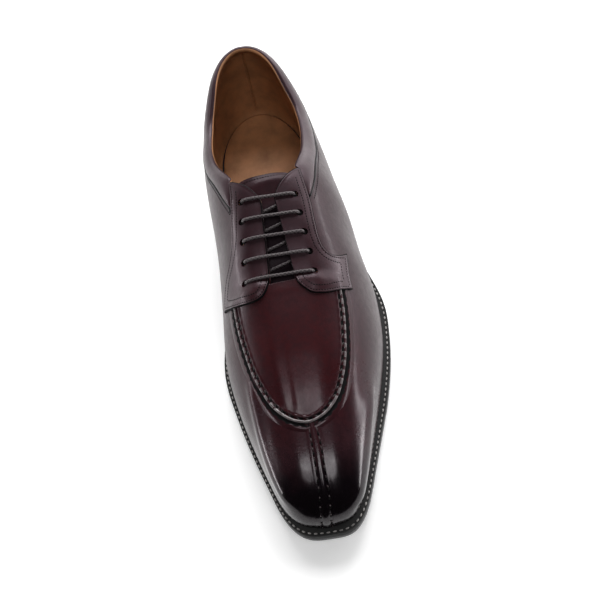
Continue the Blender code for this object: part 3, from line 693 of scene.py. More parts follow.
def pick(spokes, index):
    return Spokes(*(column[index] for column in spokes))


def last_turn(spokes):
    """Where the upper ends on each spoke: at the collar, at the throat's edge or at the ridge."""
    _, station = edge_point(spokes, swell_inset)
    at_collar = turn_for_height(spokes, TOPLINE_HEIGHT(station))
    at_throat = turn_for_half(spokes, slot_half(spokes.root))
    turn = np.where((spokes.swing == 0) & (spokes.root < SLOT_END), at_throat, 1.0)
    return np.where((spokes.swing <= 0) & (spokes.root < FACING_TOP), at_collar, turn)


def grid_mesh(points):
    """A sheet of faces over an array of columns by rows of points in millimetres, with its even UV map."""
    columns, rows = points.shape[0] - 1, points.shape[1] - 1
    placed = place(points)
    bm = bmesh.new()
    bmesh.ops.create_grid(bm, x_segments=columns, y_segments=rows, size=0.5)
    uv = bm.loops.layers.uv.new("UVMap")
    for face in bm.faces:
        for loop in face.loops:
            loop[uv].uv = loop.vert.co.x + 0.5, loop.vert.co.y + 0.5
    for vert in bm.verts:
        column, row = round((vert.co.x + 0.5) * columns), round((vert.co.y + 0.5) * rows)
        vert.co = placed[column, row]
    return bm


def mark_rows(bm, rows, chosen):
    """Gives the second material to the chosen rows of a sheet."""
    uv = bm.loops.layers.uv.active
    for face in bm.faces:
        along, row = sum((loop[uv].uv for loop in face.loops), Vector((0.0, 0.0))) / len(face.loops)
        face.material_index = 1 if chosen(row * rows, along) else 0


def mean_of(face, layer):
    """A layer's mean over the corners of a face."""
    return sum(vert[layer] for vert in face.verts) / len(face.verts)


def mark_lip(bm):
    """Gives the second material, a painted highlight, to the lip's crest, and the third, painted shade, to
    the seam's edge and the gaps between stitches.
    """
    across_of, station_of = bm.verts.layers.float["across"], bm.verts.layers.float["station"]
    faces = list(bm.faces)
    plan = np.array([(mean_of(face, across_of), mean_of(face, station_of)) for face in faces])
    seam = distance_to_line(plan, apron_edge())
    gap = between_stitches(plan[:, 0], plan[:, 1])
    for face, away, share, station in zip(faces, seam, gap, plan[:, 1]):
        highlighted = station > LIP_FRONT or share > CREST_BEADS
        # The crest's paler colour is a painted highlight, beaded behind LIP_FRONT and whole in front of it
        face.material_index = 1 if LIP_CREST[0] < away < LIP_CREST[1] and highlighted else 0
        # Painted shade at the seam's edge and in the gaps between stitches: the third material
        if away < LIP_CREST[0] or (SEWN_GAP[0] < away < SEWN_GAP[1] and share < GAP_BEADS):
            face.material_index = 2


def mark_edge(bm, depth):
    """Gives the second material to a panel's cut edge and the first bit of its top."""
    edge_of = bm.verts.layers.float["edge"]
    for face in bm.faces:
        face.material_index = 1 if mean_of(face, edge_of) < depth else 0


def weld(bm):
    bmesh.ops.remove_doubles(bm, verts=bm.verts, dist=MERGE_DISTANCE)
    bmesh.ops.dissolve_degenerate(bm, edges=bm.edges, dist=NO_LENGTH)
    bmesh.ops.recalc_face_normals(bm, faces=bm.faces)


def cap_ends(bm):
    """Closes the open ends of a tube."""
    loose = [edge for edge in bm.edges if edge.is_boundary]
    bmesh.ops.holes_fill(bm, edges=loose, sides=0)
    bmesh.ops.recalc_face_normals(bm, faces=bm.faces)


def welded_sheet(points, capped=False):
    """A welded sheet over an array of points, with its open ends closed where asked."""
    bm = grid_mesh(points)
    weld(bm)
    if capped:
        cap_ends(bm)
    return bm


def make_piece(name, bm, materials, nodes=(), smooth_below=50.0):
    """A finished piece from a mesh: smooth, with its materials, riding on the shoe's body."""
    mesh = bpy.data.meshes.new(name)
    bm.to_mesh(mesh)
    bm.free()
    mesh.shade_smooth()
    mesh.set_sharp_from_angle(angle=math.radians(smooth_below))
    for made in materials:
        mesh.materials.append(made)
    piece = bpy.data.objects.new(name, mesh)
    bpy.context.scene.collection.objects.link(piece)
    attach(piece, "root")
    if nodes:
        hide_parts(*nodes)
    return piece


def cut_panel(outline, pitch=PANEL_PITCH, holes=(), insets=EDGE_INSETS):
    """A flat panel cut to an outline in plan, with close rows of faces along its edge and round holes."""
    bm = bmesh.new()
    inner = bm.faces.layers.int.new("inner")
    bmesh.ops.create_circle(bm, cap_ends=True, segments=len(outline), radius=1.0)
    bm.faces.ensure_lookup_table()
    body = bm.faces[0]
    for loop, spot in zip(body.loops, outline):
        loop.vert.co = (*spot, 0.0)
    for width in insets:
        bmesh.ops.inset_region(bm, faces=[body], thickness=width, use_even_offset=True, use_boundary=True)
        bmesh.ops.remove_doubles(bm, verts=list(body.verts), dist=CROWDED)
        body = max(bm.faces, key=lambda face: len(face.verts))
    body[inner] = 1
    for axis in (0, 1):
        normal = Vector((1 - axis, axis, 0))
        low, high = outline[:, axis].min(), outline[:, axis].max()
        for offset in np.arange(low + pitch, high, pitch):
            faces = [face for face in bm.faces if face[inner]]
            edges = {edge for face in faces for edge in face.edges}
            verts = {vert for face in faces for vert in face.verts}
            bmesh.ops.bisect_plane(
                bm, geom=[*faces, *edges, *verts], dist=0.0001,
                plane_co=normal * float(offset), plane_no=normal)
    for spot in holes:
        punch_hole(bm, Vector((*spot, 0.0)))
    return bm


def punch_hole(bm, spot):
    """A round hole in a flat panel."""
    inside = [face for face in bm.faces if (face.calc_center_median() - spot).length < EYELET_RADIUS]
    rim = {edge for face in inside for edge in face.edges if len(set(edge.link_faces) - set(inside)) == 1}
    bmesh.ops.delete(bm, geom=inside, context="FACES")
    for vert in {vert for edge in rim if edge.is_valid for vert in edge.verts}:
        away = vert.co - spot
        vert.co = spot + away.normalized() * EYELET_RADIUS


def last_panel(bm, outline, lift, under, surface=over_last):
    """Lays a flat panel on the last and gives it thickness.

    lift and under take distance from the edge, across and station, and give heights over the last.
    """
    across_of, station_of = bm.verts.layers.float.new("across"), bm.verts.layers.float.new("station")
    edge_of = bm.verts.layers.float.new("edge")
    verts = list(bm.verts)
    plan = np.array([vert.co[:2] for vert in verts])
    edge = distance_to_outline(plan, outline)
    top = place(surface(plan[:, 0], plan[:, 1], lift(edge, plan[:, 0], plan[:, 1])))
    for vert, spot, flat, away in zip(verts, top, plan, edge):
        vert.co = spot
        vert[across_of], vert[station_of], vert[edge_of] = flat[0], flat[1], away
    copied = bmesh.ops.extrude_face_region(bm, geom=bm.faces[:])
    verts = [vert for vert in copied["geom"] if isinstance(vert, bmesh.types.BMVert)]
    across = np.array([vert[across_of] for vert in verts])
    station = np.array([vert[station_of] for vert in verts])
    edge = np.array([vert[edge_of] for vert in verts])
    for vert, spot in zip(verts, place(surface(across, station, under(edge, across, station)))):
        vert.co = spot
    bmesh.ops.recalc_face_normals(bm, faces=bm.faces)


def rounded(edge, radius, low, high):
    """Height of a panel's top over its edge: a short cut face, then a round shoulder."""
    share = 1 - np.clip(edge / radius, 0.0, 1.0)
    return low + (high - low) * np.sqrt(np.maximum(1 - share * share, 0.0))


# Materials


def add(tree, kind, **values):
    """A node with its plain settings; names with a leading capital are input sockets."""
    node = tree.nodes.new(kind)
    for name, value in values.items():
        if name[0].isupper():
            node.inputs[name.replace("_", " ")].default_value = value
        else:
            setattr(node, name, value)
    return node


def ramp(tree, source, start, end, low=0.0, high=1.0):
    """A smooth change from low to high as a value runs from start to end."""
    node = add(tree, "ShaderNodeMapRange", interpolation_type="SMOOTHSTEP")
    for name, value in (("From Min", start), ("From Max", end), ("To Min", low), ("To Max", high)):
        node.inputs[name].default_value = value
    tree.links.new(source, node.inputs["Value"])
    return node.outputs["Result"]


def combine(tree, operation, first, second):
    """A sum, product or other operation on two values, each a socket or a number."""
    node = add(tree, "ShaderNodeMath", operation=operation)
    for socket, value in zip(node.inputs, (first, second)):
        if isinstance(value, (int, float)):
            socket.default_value = value
        else:
            tree.links.new(value, socket)
    return node.outputs[0]


def blend_colours(tree, share, first, second, mode="MIX"):
    node = add(tree, "ShaderNodeMix", data_type="RGBA", blend_type=mode)
    tree.links.new(share, node.inputs[0])
    for socket, value in ((node.inputs[6], first), (node.inputs[7], second)):
        if isinstance(value, bpy.types.NodeSocket):
            tree.links.new(value, socket)
        else:
            socket.default_value = (*value, 1.0)
    return node.outputs[2]


def noise(tree, coordinates, scale, detail=3.0, roughness=0.55):
    node = add(tree, "ShaderNodeTexNoise", Scale=scale, Detail=detail, Roughness=roughness)
    tree.links.new(coordinates, node.inputs["Vector"])
    return node.outputs["Fac"]


def bump(tree, height, distance, strength=1.0, before=None):
    node = add(tree, "ShaderNodeBump", Strength=strength, Distance=distance)
    tree.links.new(height, node.inputs["Height"])
    if before is not None:
        tree.links.new(before, node.inputs["Normal"])
    return node.outputs["Normal"]


def split(tree, vector):
    """The X, Y and Z parts of a vector."""
    node = add(tree, "ShaderNodeSeparateXYZ")
    tree.links.new(vector, node.inputs[0])
    return node.outputs


def mottled(tree, cloud, start, end, colour, factor, more=0.0):
    """A colour that turns darker or lighter by a factor as a noise runs from start to end."""
    other = tuple(part * factor + more for part in colour)
    return blend_colours(tree, ramp(tree, cloud, start, end), colour, other)


def new_material(name):
    """An empty principled material; gives the material, its nodes and Object coordinates."""
    made = bpy.data.materials.new(name)
    made.use_nodes = True
    tree = made.node_tree
    return made, tree, add(tree, "ShaderNodeTexCoord").outputs["Object"]


def dress(made, **inputs):
    """Sets a material's shader inputs by name: a socket is linked and a plain value is set."""
    tree = made.node_tree
    shader = tree.nodes["Principled BSDF"]
    for name, value in inputs.items():
        socket = shader.inputs[name.replace("_", " ")]
        if isinstance(value, bpy.types.NodeSocket):
            tree.links.new(value, socket)
        else:
            socket.default_value = value
    return made


def frame_y(station):
    """Frame coordinate of a station, for patterns that follow the shoe."""
    return (SOLE_LENGTH / 2 - station) * MM


def polished_leather(name, colours, red_share, gloss, painted_shade_from=None):
    """Burnished calf: red-brown in the middle of the vamp, near black at the toe, with a fine grain.

    painted_shade_from is a station in front of which the colour is darkened towards the burnish: painted
    shade where the tongue runs under the facings and into the throat.
    """
    made, tree, coordinates = new_material(name)
    across, along, _ = split(tree, coordinates)
    cloud, fine_cloud = noise(tree, coordinates, 55.0, 4.0, 0.6), noise(tree, coordinates, 260.0, 3.0, 0.6)
    pores, grain = noise(tree, coordinates, 420.0, 3.0, 0.6), noise(tree, coordinates, 1500.0, 2.0, 0.5)
    drift = combine(tree, "MULTIPLY", combine(tree, "SUBTRACT", cloud, 0.5), CLOUD_DRIFT)
    toe_line = combine(tree, "ADD", along, drift)

    def towards_toe(run, low=0.0, high=1.0):
        return ramp(tree, toe_line, frame_y(run[0]), frame_y(run[1]), low, high)

    side = combine(tree, "ADD", across, MIDDLE_X * MM)
    ahead = combine(
        tree, "MULTIPLY", combine(tree, "SUBTRACT", along, frame_y(RED_MIDDLE)), RED_LENGTHWISE)
    squares = [combine(tree, "MULTIPLY", part, part) for part in (side, ahead)]
    reach = combine(tree, "SQRT", combine(tree, "ADD", *squares), 0.0)
    red = combine(tree, "MULTIPLY", ramp(tree, combine(tree, "ADD", reach, drift), *RED_REACH), red_share)
    colour = blend_colours(tree, red, colours.leather, colours.leather_red)
    colour = blend_colours(tree, ramp(tree, fine_cloud, 0.3, 0.75, 0.0, 0.35), colour, colours.burnish)
    colour = blend_colours(tree, towards_toe(TOE_DARKENS), colour, colours.burnish)
    # Painted shade: the tongue darkens towards the burnish in front of this station, where it lies under the
    # facings
    if painted_shade_from is not None:
        shade = ramp(tree, along, frame_y(painted_shade_from), frame_y(painted_shade_from + SHADE_LENGTH), 0.0, 0.85)
        colour = blend_colours(tree, shade, colour, colours.burnish)
    rough = combine(
        tree, "ADD", towards_toe(TOE_SMOOTHS, 0.34, 0.16), ramp(tree, fine_cloud, 0.3, 0.8, 0.0, 0.07))
    polish = combine(
        tree, "MULTIPLY", towards_toe(TOE_WAXED, 0.07, 0.6), ramp(tree, grain, 0.35, 0.65, 0.6, 1.15))
    normal = bump(tree, grain, 0.00012, 0.3, bump(tree, pores, 0.0002, 0.3))
    return dress(made, Base_Color=colour, Roughness=rough, Normal=normal, Coat_Weight=polish,
                 Coat_Roughness=0.13, Specular_Tint=(1.0, 0.8, 0.91, 1.0), Specular_IOR_Level=gloss)


def inked_sole(name, colour, gloss):
    """Black sole stock: waxed and rubbed, with a faint even drag along it."""
    made, tree, coordinates = new_material(name)
    cloud = noise(tree, coordinates, 180.0, 4.0, 0.6)
    return dress(made, Base_Color=mottled(tree, cloud, 0.35, 0.8, colour, 2.2, 0.004),
                 Roughness=ramp(tree, cloud, 0.2, 0.8, 0.36, 0.55), Specular_IOR_Level=gloss,
                 Normal=bump(tree, noise(tree, coordinates, 900.0), 0.00015, 0.35))


def soft_lining(name, colour):
    """Tan lining leather with a fine nap and darker rubbed patches."""
    made, tree, coordinates = new_material(name)
    cloud = noise(tree, coordinates, 70.0, 4.0, 0.6)
    return dress(made, Base_Color=mottled(tree, cloud, 0.3, 0.8, colour, 0.55), Roughness=0.62,
                 Normal=bump(tree, noise(tree, coordinates, 1100.0), 0.0002, 0.4))


def cut_edge(name, lining, ink):
    """Cut edge of the upper: raw tan round the collar, inked dark down the throat and under the foot."""
    made, tree, coordinates = new_material(name)
    _, along, up = split(tree, coordinates)
    raw = mottled(tree, noise(tree, coordinates, 400.0, 3.0, 0.6), 0.3, 0.75, lining, 0.5)
    behind = ramp(tree, along, *(frame_y(station) for station in RAW_BEHIND))
    share = combine(tree, "MULTIPLY", ramp(tree, up, *RAW_ABOVE), behind)
    return dress(made, Base_Color=blend_colours(tree, share, ink, raw), Roughness=0.6,
                 Normal=bump(tree, noise(tree, coordinates, 1400.0), 0.0002, 0.4))


def waxed_cord(name, colour, turns_long, turns_round):
    """Braided round lace under wax; its strands follow the piece's UV map."""
    made, tree, _ = new_material(name)
    parts = split(tree, add(tree, "ShaderNodeUVMap", uv_map="UVMap").outputs[0])
    along = combine(tree, "MULTIPLY", parts["X"], turns_long * 2 * math.pi)
    around = combine(tree, "MULTIPLY", parts["Y"], turns_round * 2 * math.pi)
    crossings = [combine(tree, way, along, around) for way in ("ADD", "SUBTRACT")]
    strands = combine(tree, "MAXIMUM", *(combine(tree, "SINE", crossing, 0.0) for crossing in crossings))
    return dress(made, Base_Color=mottled(tree, strands, 0.9, -0.2, colour, 0.35), Roughness=0.48,
                 Normal=bump(tree, strands, 0.00012, 0.8))


def spun_thread(name, colour, roughness, gloss=0.5):
    """Twisted thread with a little variation from stitch to stitch."""
    made, tree, coordinates = new_material(name)
    cloud = noise(tree, coordinates, 500.0, 2.0, 0.5)
    return dress(made, Base_Color=mottled(tree, cloud, 0.35, 0.7, colour, 0.6), Roughness=roughness,
                 Specular_IOR_Level=gloss, Normal=bump(tree, noise(tree, coordinates, 4000.0), 0.00006, 0.5))


def pale_floor(name, colour, glow):
    """Plain pale floor, a little lit up from below."""
    made, tree, coordinates = new_material(name)
    shade = tuple(part * 0.985 for part in colour)
    tone = blend_colours(tree, noise(tree, coordinates, 3.0, 2.0, 0.5), colour, shade)
    return dress(made, Base_Color=tone, Roughness=0.6, Emission_Color=(*colour, 1.0), Emission_Strength=glow)


def finish_of(name):
    """The shoe's finishes by name, each made once from the colours in the panel."""
    made = bpy.data.materials.get(name)
    if made is not None:
        return made
    colours, studio = bpy.context.scene.derby_colours, bpy.context.scene.derby_studio
    darkest = tuple(part * 0.4 for part in colours.burnish)
    makers = {
        "oxblood_calf": lambda: polished_leather(name, colours, red_share=1.0, gloss=0.17),
        "brown_trim_calf": lambda: polished_leather(name, colours, red_share=0.45, gloss=0.34),
        # The tongue carries painted shade: darker in front of station 126
        "tongue_calf": lambda: polished_leather(name, colours, red_share=0.2, gloss=0.1, painted_shade_from=126.0),
        # Painted highlight: the paler, glossier colour of the apron lip's crest
        "painted_highlight_calf": lambda: spun_thread(name, colours.highlighted, roughness=0.3, gloss=0.8),
        "sole_black": lambda: inked_sole(name, colours.sole, gloss=0.14),
        "polished_edge": lambda: inked_sole(name, colours.sole, gloss=0.6),
        "tan_lining": lambda: soft_lining(name, colours.lining),
        "cut_edge": lambda: cut_edge(name, colours.lining, colours.burnish),
        "waxed_lace": lambda: waxed_cord(name, colours.lace, turns_long=160.0, turns_round=3.0),
        "pale_thread": lambda: spun_thread(name, colours.pale_thread, roughness=0.5),
        "dark_thread": lambda: spun_thread(name, colours.dark_thread, roughness=0.4),
        "edge_ink": lambda: inked_sole(name, colours.burnish, gloss=0.14),
        # Dark ink for stitches and inked edges, and also painted shade in the apron's groove, its stitch
        # gaps, the stitch holes and the eyelets
        "ink_and_painted_shade": lambda: spun_thread(name, darkest, roughness=0.75, gloss=0.12),
        "floor_white": lambda: pale_floor(name, studio.floor_colour, studio.floor_glow),
    }
    return makers[name]()


# Stitches


def stitch_frames(line, normals, pitch):
    """Middles, directions and normals of even stitches along a line of points."""
    along = lengths_along(line)
    count = max(round(along[-1] / pitch), 1)
    spots = (np.arange(count) + 0.5) * along[-1] / count

    def at(values, where):
        return np.stack([np.interp(where, along, values[:, i]) for i in range(3)], -1)

    middle = at(line, spots)
    forward = at(line, spots + pitch * 0.3) - at(line, spots - pitch * 0.3)
    return middle, forward, at(normals, spots)


def sew(bm, line, normals, pitch, size, slant=0.0):
    """A row of stitches along a line; size is length, width and height, slant a turn about the normal."""
    for middle, forward, normal in zip(*stitch_frames(line, normals, pitch)):
        matrix = stitch_matrix(middle, forward, normal, size, slant)
        bmesh.ops.create_uvsphere(bm, u_segments=8, v_segments=5, radius=MM, matrix=matrix)


def stitch_matrix(middle, forward, normal, size, slant=0.0):
    """Size, direction and place of one stitch in the frame's metres."""
    up = Vector(normal).normalized()
    ahead = Vector(forward)
    ahead = (ahead - up * ahead.dot(up)).normalized()
    ahead = Matrix.Rotation(slant, 3, up) @ ahead
    aside = up.cross(ahead)
    turned = Matrix((ahead * size[0] / 2, aside * size[1] / 2, up * size[2] / 2)).transposed().to_4x4()
    turned.translation = Vector(place(tuple(middle)))
    for column in range(3):
        turned[1][column] *= -1
    return turned


def thread_size(stitch, pitch):
    """Length, width and height of a stitch whose length is a share of the pitch."""
    share, width, height = stitch
    return pitch * share, width, height


def plan_run(plan, lift):
    """A line over the last from plan places, with its normals."""
    plan = np.asarray(plan, float)
    low = over_last(plan[:, 0], plan[:, 1], lift)
    return low, over_last(plan[:, 0], plan[:, 1], lift + 1.0) - low


def offset_line(line, distance):
    """A plan line moved aside, to the left of its direction."""
    run = np.gradient(line, axis=0)
    run /= np.linalg.norm(run, axis=1)[:, None]
    return line + np.stack([-run[:, 1], run[:, 0]], -1) * distance


# Shapes of the pieces


def ridge_lift(points):
    """The wall's points lifted along its flank ridges: steep outside, soft inside, fading at the ends."""
    outward = np.cross(np.gradient(points, axis=0), np.gradient(points, axis=1))
    outward /= np.linalg.norm(outward, axis=-1, keepdims=True) + 1e-9
    outward *= np.sign(np.sum(outward[..., 0] * points[..., 0]))
    lift = np.zeros(points.shape[:2])
    for line, side, height, inner_spread in FLANK_RIDGES:
        line = smooth_line(np.array(line, float)[:, (1, 0, 2)], 2.0)
        flat = points.reshape(-1, 3)
        away, along = nearest_on_line(flat, line)
        run = lengths_along(line)
        inside = (np.interp(along, run, line[:, 0]) - flat[:, 0]) * side > 0
        spread = np.where(inside, inner_spread, RIDGE_OUTER_SPREAD)
        fade = ease(along / RIDGE_FADES[0]) * ease((run[-1] - along) / RIDGE_FADES[1])
        lift += (height * fade * np.exp(-((away / spread) ** 2))).reshape(lift.shape)
    return points + outward * lift[..., None]


def upper_wall_points():
    """The outside of the upper from its lower edge to the collar, throat and ridge, even and faired."""
    ring = full_ring(RING_SPOKES)
    end = last_turn(ring)
    columns = []
    share = np.linspace(0, 1, SPOKE_STEPS)
    for i in range(len(ring.side)):
        turn = -1 + (end[i] + 1) * share
        spoke = pick(ring, np.full(len(turn), i))
        columns.append(resample(spoke_point(spoke, turn), WALL_ROWS + 1))
    points = np.stack(columns)
    for _ in range(FAIRING_ROUNDS):
        points[:, 1:-1] = (points[:, :-2] + 2 * points[:, 1:-1] + points[:, 2:]) / 4
    x, station, height = points[..., 0], points[..., 1], points[..., 2]
    sink = throat_sink(x - last("ridge", station), station)
    points[..., 2] -= np.where(height > THROAT_ABOVE, sink, 0.0)
    return ridge_lift(points)


def facing_lines(side):
    """Closed outline of a facing in plan, and its seam line from the front corner up to the topline."""
    throat = np.linspace(FACING_TOP + 1.0, FACING_FRONT[side][0][1], 60)
    throat = np.stack([slot_half(throat) + FACING_BACK, throat], -1)
    parts = [throat, FACING_FRONT[side], FACING_WING[side], FACING_SEAM[side]]
    lines = [smooth_line(part, 1.2) for part in parts if len(part)]
    top = np.array([lines[-1][-1], lines[0][0]])
    outline = np.concatenate([line[:-1] for line in lines] + [resample(top, 3)[:-1]])
    return outline * (side, 1), [line * (side, 1) for line in lines]


def apron_edge(spacing=0.8):
    """The apron's seam in plan from the outer side round the front to the inner side."""
    mirrored = [(-across, station) for across, station in APRON_EDGE[2:0:-1]]
    half = smooth_line([*mirrored, *APRON_EDGE], spacing / 4)
    half = half[half[:, 0] >= 0]
    both = np.concatenate([half[::-1], half * (-1, 1)])
    return resample(both, round(lengths_along(both)[-1] / spacing) + 1)


def apron_outline():
    edge = apron_edge()
    rear = smooth_line([tuple(edge[-1]), *APRON_REAR], 1.4)
    across = resample(np.array([rear[-1], rear[-1] * (-1, 1)]), 10)
    home = rear[::-1] * (-1, 1)
    return np.concatenate([edge[:-1], rear[:-1], across[:-1], home[:-1]])


def valley_line():
    """The sewn line inside the apron's lip, in plan."""
    edge = apron_edge(0.6)
    edge = edge[edge[:, 1] > SEWN_FROM]
    return offset_line(edge, bpy.context.scene.derby_sizes.lip_width / MM)


def between_stitches(across, station):
    """A wave along the apron's seam: one between two hand stitches, minus one at a stitch hole."""
    line, _ = plan_run(valley_line(), 0.5)
    _, along = nearest_on_line(over_last(across, station, 0.5), line)
    length = lengths_along(line)[-1]
    count = round(length * MM / bpy.context.scene.derby_sizes.hand_pitch)
    return np.cos(2 * math.pi * along / length * count)


def apron_lift(edge, across, station):
    """Height of the apron: a raised lip along its seam, a sewn valley inside it, a bead, then soft pulls."""
    sizes = bpy.context.scene.derby_sizes
    lip_width, lip = sizes.lip_width / MM, sizes.lip_height / MM
    seam = distance_to_line(np.stack([across, station], -1), apron_edge())
    wave = between_stitches(across, station)

    def row(height, shape):
        rise = height * np.exp(-(((seam / lip_width - shape.middle) / shape.width) ** 2))
        return rise * (1 + shape.swell * wave)

    rows = row(lip - APRON_FLAT, LIP_ROW) - row(VALLEY_DEPTH, VALLEY_ROW) + row(BEAD_HEIGHT, BEAD_ROW)
    plump = APRON_PLUMP * ease((station - PLUMP_FROM) / PLUMP_FADE)
    plump = plump * (1 - (1 - np.minimum(seam / PLUMP_REACH, 1)) ** 2)
    aside = across + PULL_LINE + PULL_SLANT * (station - PULL_ABOUT)
    pulls = sum(height * np.exp(-(((aside + away) / spread) ** 2)) for away, spread, height in APRON_PULLS)
    fade = ease((station - PULL_RUN[0]) / PULL_FADES[0]) * ease((PULL_RUN[1] - station) / PULL_FADES[1])
    return rounded(edge, *APRON_CUT, APRON_FLAT) + (rows + fade * pulls) * ease(edge / APRON_CUT[0]) + plump


def apron_under(edge, across, station):
    return np.minimum(APRON_UNDERSIDE, apron_lift(edge, across, station) - APRON_LEAST)


def vamp_shoulder_points():
    """The vamp's edge along the apron's seam: a groove at the lip, then a raised shoulder that runs out."""
    edge = apron_edge(0.7)
    rows = []
    for out, lift in [*VAMP_SHOULDER, *VAMP_UNDERSIDE, VAMP_SHOULDER[0]]:
        plan = offset_line(edge, -out)
        rows.append(over_last(plan[:, 0], plan[:, 1], lift))
    return np.stack(rows, 1)


def over_apron(across, station):
    """How far a facing is raised where it lies on the apron's back edge."""
    ahead, aside = (station - STEP_STATION) / STEP_FADES[0], (STEP_HALF - np.abs(across)) / STEP_FADES[1]
    return APRON_FLAT * ease(ahead) * ease(aside)


def facing_lift(edge, across, station):
    """Height of a facing: a rounded cut edge, a sewn channel, the lace's soft troughs and puckers."""
    thick = bpy.context.scene.derby_sizes.facing_thickness / MM
    plan = np.stack([across, station], -1)
    soft = over_apron(across, station)
    for row in range(EYELET_ROWS):
        bar = distance_to_line(plan, np.array([eyelet(LATERAL, row), eyelet(MEDIAL, row)]))
        soft = soft - BAR_TROUGH * np.exp(-((bar / BAR_SPREAD) ** 2))
    for (x, s), height, spread in FACING_PUCKERS:
        soft = soft + height * np.exp(-((((across - x) ** 2 + (station - s) ** 2) / spread**2) ** 2))
    channel = CHANNEL_DEPTH * np.exp(-(((edge - FACING_ROWS[0]) / CHANNEL_SPREAD) ** 2))
    return rounded(edge, *FACING_CUT, FACING_SEAT + thick) + soft * ease(edge / 0.6 + 0.4) - channel


def facing_under(edge, across, station):
    return FACING_UNDERSIDE + over_apron(across, station)


def tongue_outline():
    across = np.linspace(-1, 1, 42)
    top = np.stack([across * TONGUE_HALF, TONGUE_TOP + TONGUE_CORNER * np.abs(across) ** 4], -1)
    half = TONGUE_HALF - TONGUE_TAPER
    sides = resample(np.array([(TONGUE_HALF, TONGUE_TOP + TONGUE_CORNER), (half, TONGUE_ROOT)]), 60)
    root = resample(np.array([(half, TONGUE_ROOT), (-half, TONGUE_ROOT)]), 36)
    return np.concatenate([top[:-1], sides[:-1], root[:-1], sides[::-1][:-1] * (-1, 1)])


def tongue_depth(station):
    """How far the tongue lies below the upper's outside: least at its root, more in the throat."""
    lying = WALL_THICKNESS + 2 * SEAT_GAP
    start, length = TONGUE_SINKS
    return lying + (TONGUE_DROP - lying) * ease((start - station) / length)


def tongue_lift(edge, across, station):
    """Height of the tongue's top: a rounded edge, and soft waves that fade towards the root."""
    lengthwise, crosswise = TONGUE_WAVE_RATES
    end, fade = TONGUE_WAVE_END
    soft = TONGUE_WAVE * np.sin(station * lengthwise + across * crosswise) * ease((end - station) / fade)
    radius, cut = TONGUE_CUT
    rise = rounded(edge, radius, -TONGUE_THICKNESS + cut, 0.0)
    return rise - tongue_depth(station) + soft * ease(edge / 2)


def tongue_under(edge, across, station):
    return -TONGUE_THICKNESS - tongue_depth(station)


def collar_spokes(end):
    """Spokes along the collar, from the outer facing round the heel to the inner facing."""
    outer, inner = side_ring(LATERAL, RING_SPOKES), side_ring(MEDIAL, RING_SPOKES)
    outer = pick(outer, outer.root <= end)
    inner = pick(inner, inner.root <= end)
    return Spokes(*(np.concatenate([a[::-1], b[1:]]) for a, b in zip(outer, inner)))


def wall_frame(spokes, turn):
    """Points on the quarters at the given turns, with the wall's outward normals and upward directions."""
    here = spoke_point(spokes, turn)
    up = spoke_point(spokes, turn + 0.01) - spoke_point(spokes, turn - 0.01)
    along = np.gradient(here, axis=0)
    normal = np.cross(along, up)
    normal /= np.linalg.norm(normal, axis=1)[:, None]
    outward = here - np.array([0.0, HEEL_CENTRE + 20.0, 0.0])
    normal *= np.sign((normal * outward * (1, 0.3, 0)).sum(1))[:, None]
    up = np.cross(normal, np.cross(up, normal))
    return here, normal, up / np.linalg.norm(up, axis=1)[:, None]


def seam_half(side, station):
    """Distance of the facings' seams from the centre line, beside the end of the collar band."""
    halves = []
    for way in (LATERAL, MEDIAL):
        rows = np.array(FACING_SEAM[way][-4:][::-1])
        halves.append(np.interp(station, rows[:, 1], rows[:, 0]))
    return np.where(np.asarray(side) > 0, *halves)


def collar_turns(spokes):
    """Turns of the band's top and lower edge; past the topline the top runs on beside the facing's seam."""
    _, station = edge_point(spokes, swell_inset)
    top = turn_for_height(spokes, TOPLINE_HEIGHT(station))
    beside_facing = turn_for_half(spokes, seam_half(spokes.side, spokes.root) + COLLAR_GAP)
    top = np.where(spokes.root > FACING_TOP, beside_facing, top)
    return top, np.minimum(turn_for_height(spokes, COLLAR_HEIGHT(station)), top - 0.003)


def collar_points(pad):
    """The band's closed section along the collar: padded outside, rolled over the edge, home underneath."""
    spokes = collar_spokes(COLLAR_END)
    top, low = collar_turns(spokes)
    width = np.linalg.norm(spoke_point(spokes, top) - spoke_point(spokes, low), axis=1)[:, None]
    swell = pad * np.clip(width / COLLAR_PAD_WIDTH, 0, 1)
    edge = COLLAR_THICKNESS * np.clip(width / COLLAR_FULL_WIDTH, 0.1, 1)
    rows = []
    for share in np.linspace(0, 1, COLLAR_ROWS):
        rise = math.sqrt(1 - (1 - min(share / COLLAR_ROUNDING, 1.0)) ** 2)
        lift = COLLAR_SEAT + edge * rise + swell * math.sin(math.pi * share) ** COLLAR_FULLNESS
        here, normal, _ = wall_frame(spokes, low + (top - low) * share)
        rows.append(here + normal * lift)
    here, normal, up = wall_frame(spokes, top)
    past_topline = ease((spokes.root - FACING_TOP + 3) / 4)[:, None]
    outer = edge + COLLAR_SEAT
    inner = -(WALL_THICKNESS + ROLL_INSIDE) * (1 - past_topline) - 0.1 * past_topline
    radius, middle = (outer - inner) / 2, (outer + inner) / 2
    for angle in np.linspace(0, math.pi, ROLL_ROWS)[1:]:
        out = middle + radius * math.cos(angle)
        rows.append(here + normal * out + up * radius * ROLL_HEIGHT * math.sin(angle))
    lining_from = len(rows) - ROLL_LINED
    for drop, deep in ROLL_HEM:
        rows.append(here + normal * inner * deep - up * drop * (1 - past_topline))
    rows.append(here + normal * inner * 0.45 + up * 0.4 * (1 - past_topline))
    rows.append(here + normal * 0.04)
    for share in (0.66, 0.33):
        here, normal, _ = wall_frame(spokes, low + (top - low) * share)
        rows.append(here + normal * 0.04)
    rows.append(rows[0])
    return np.stack(rows, 1), lining_from


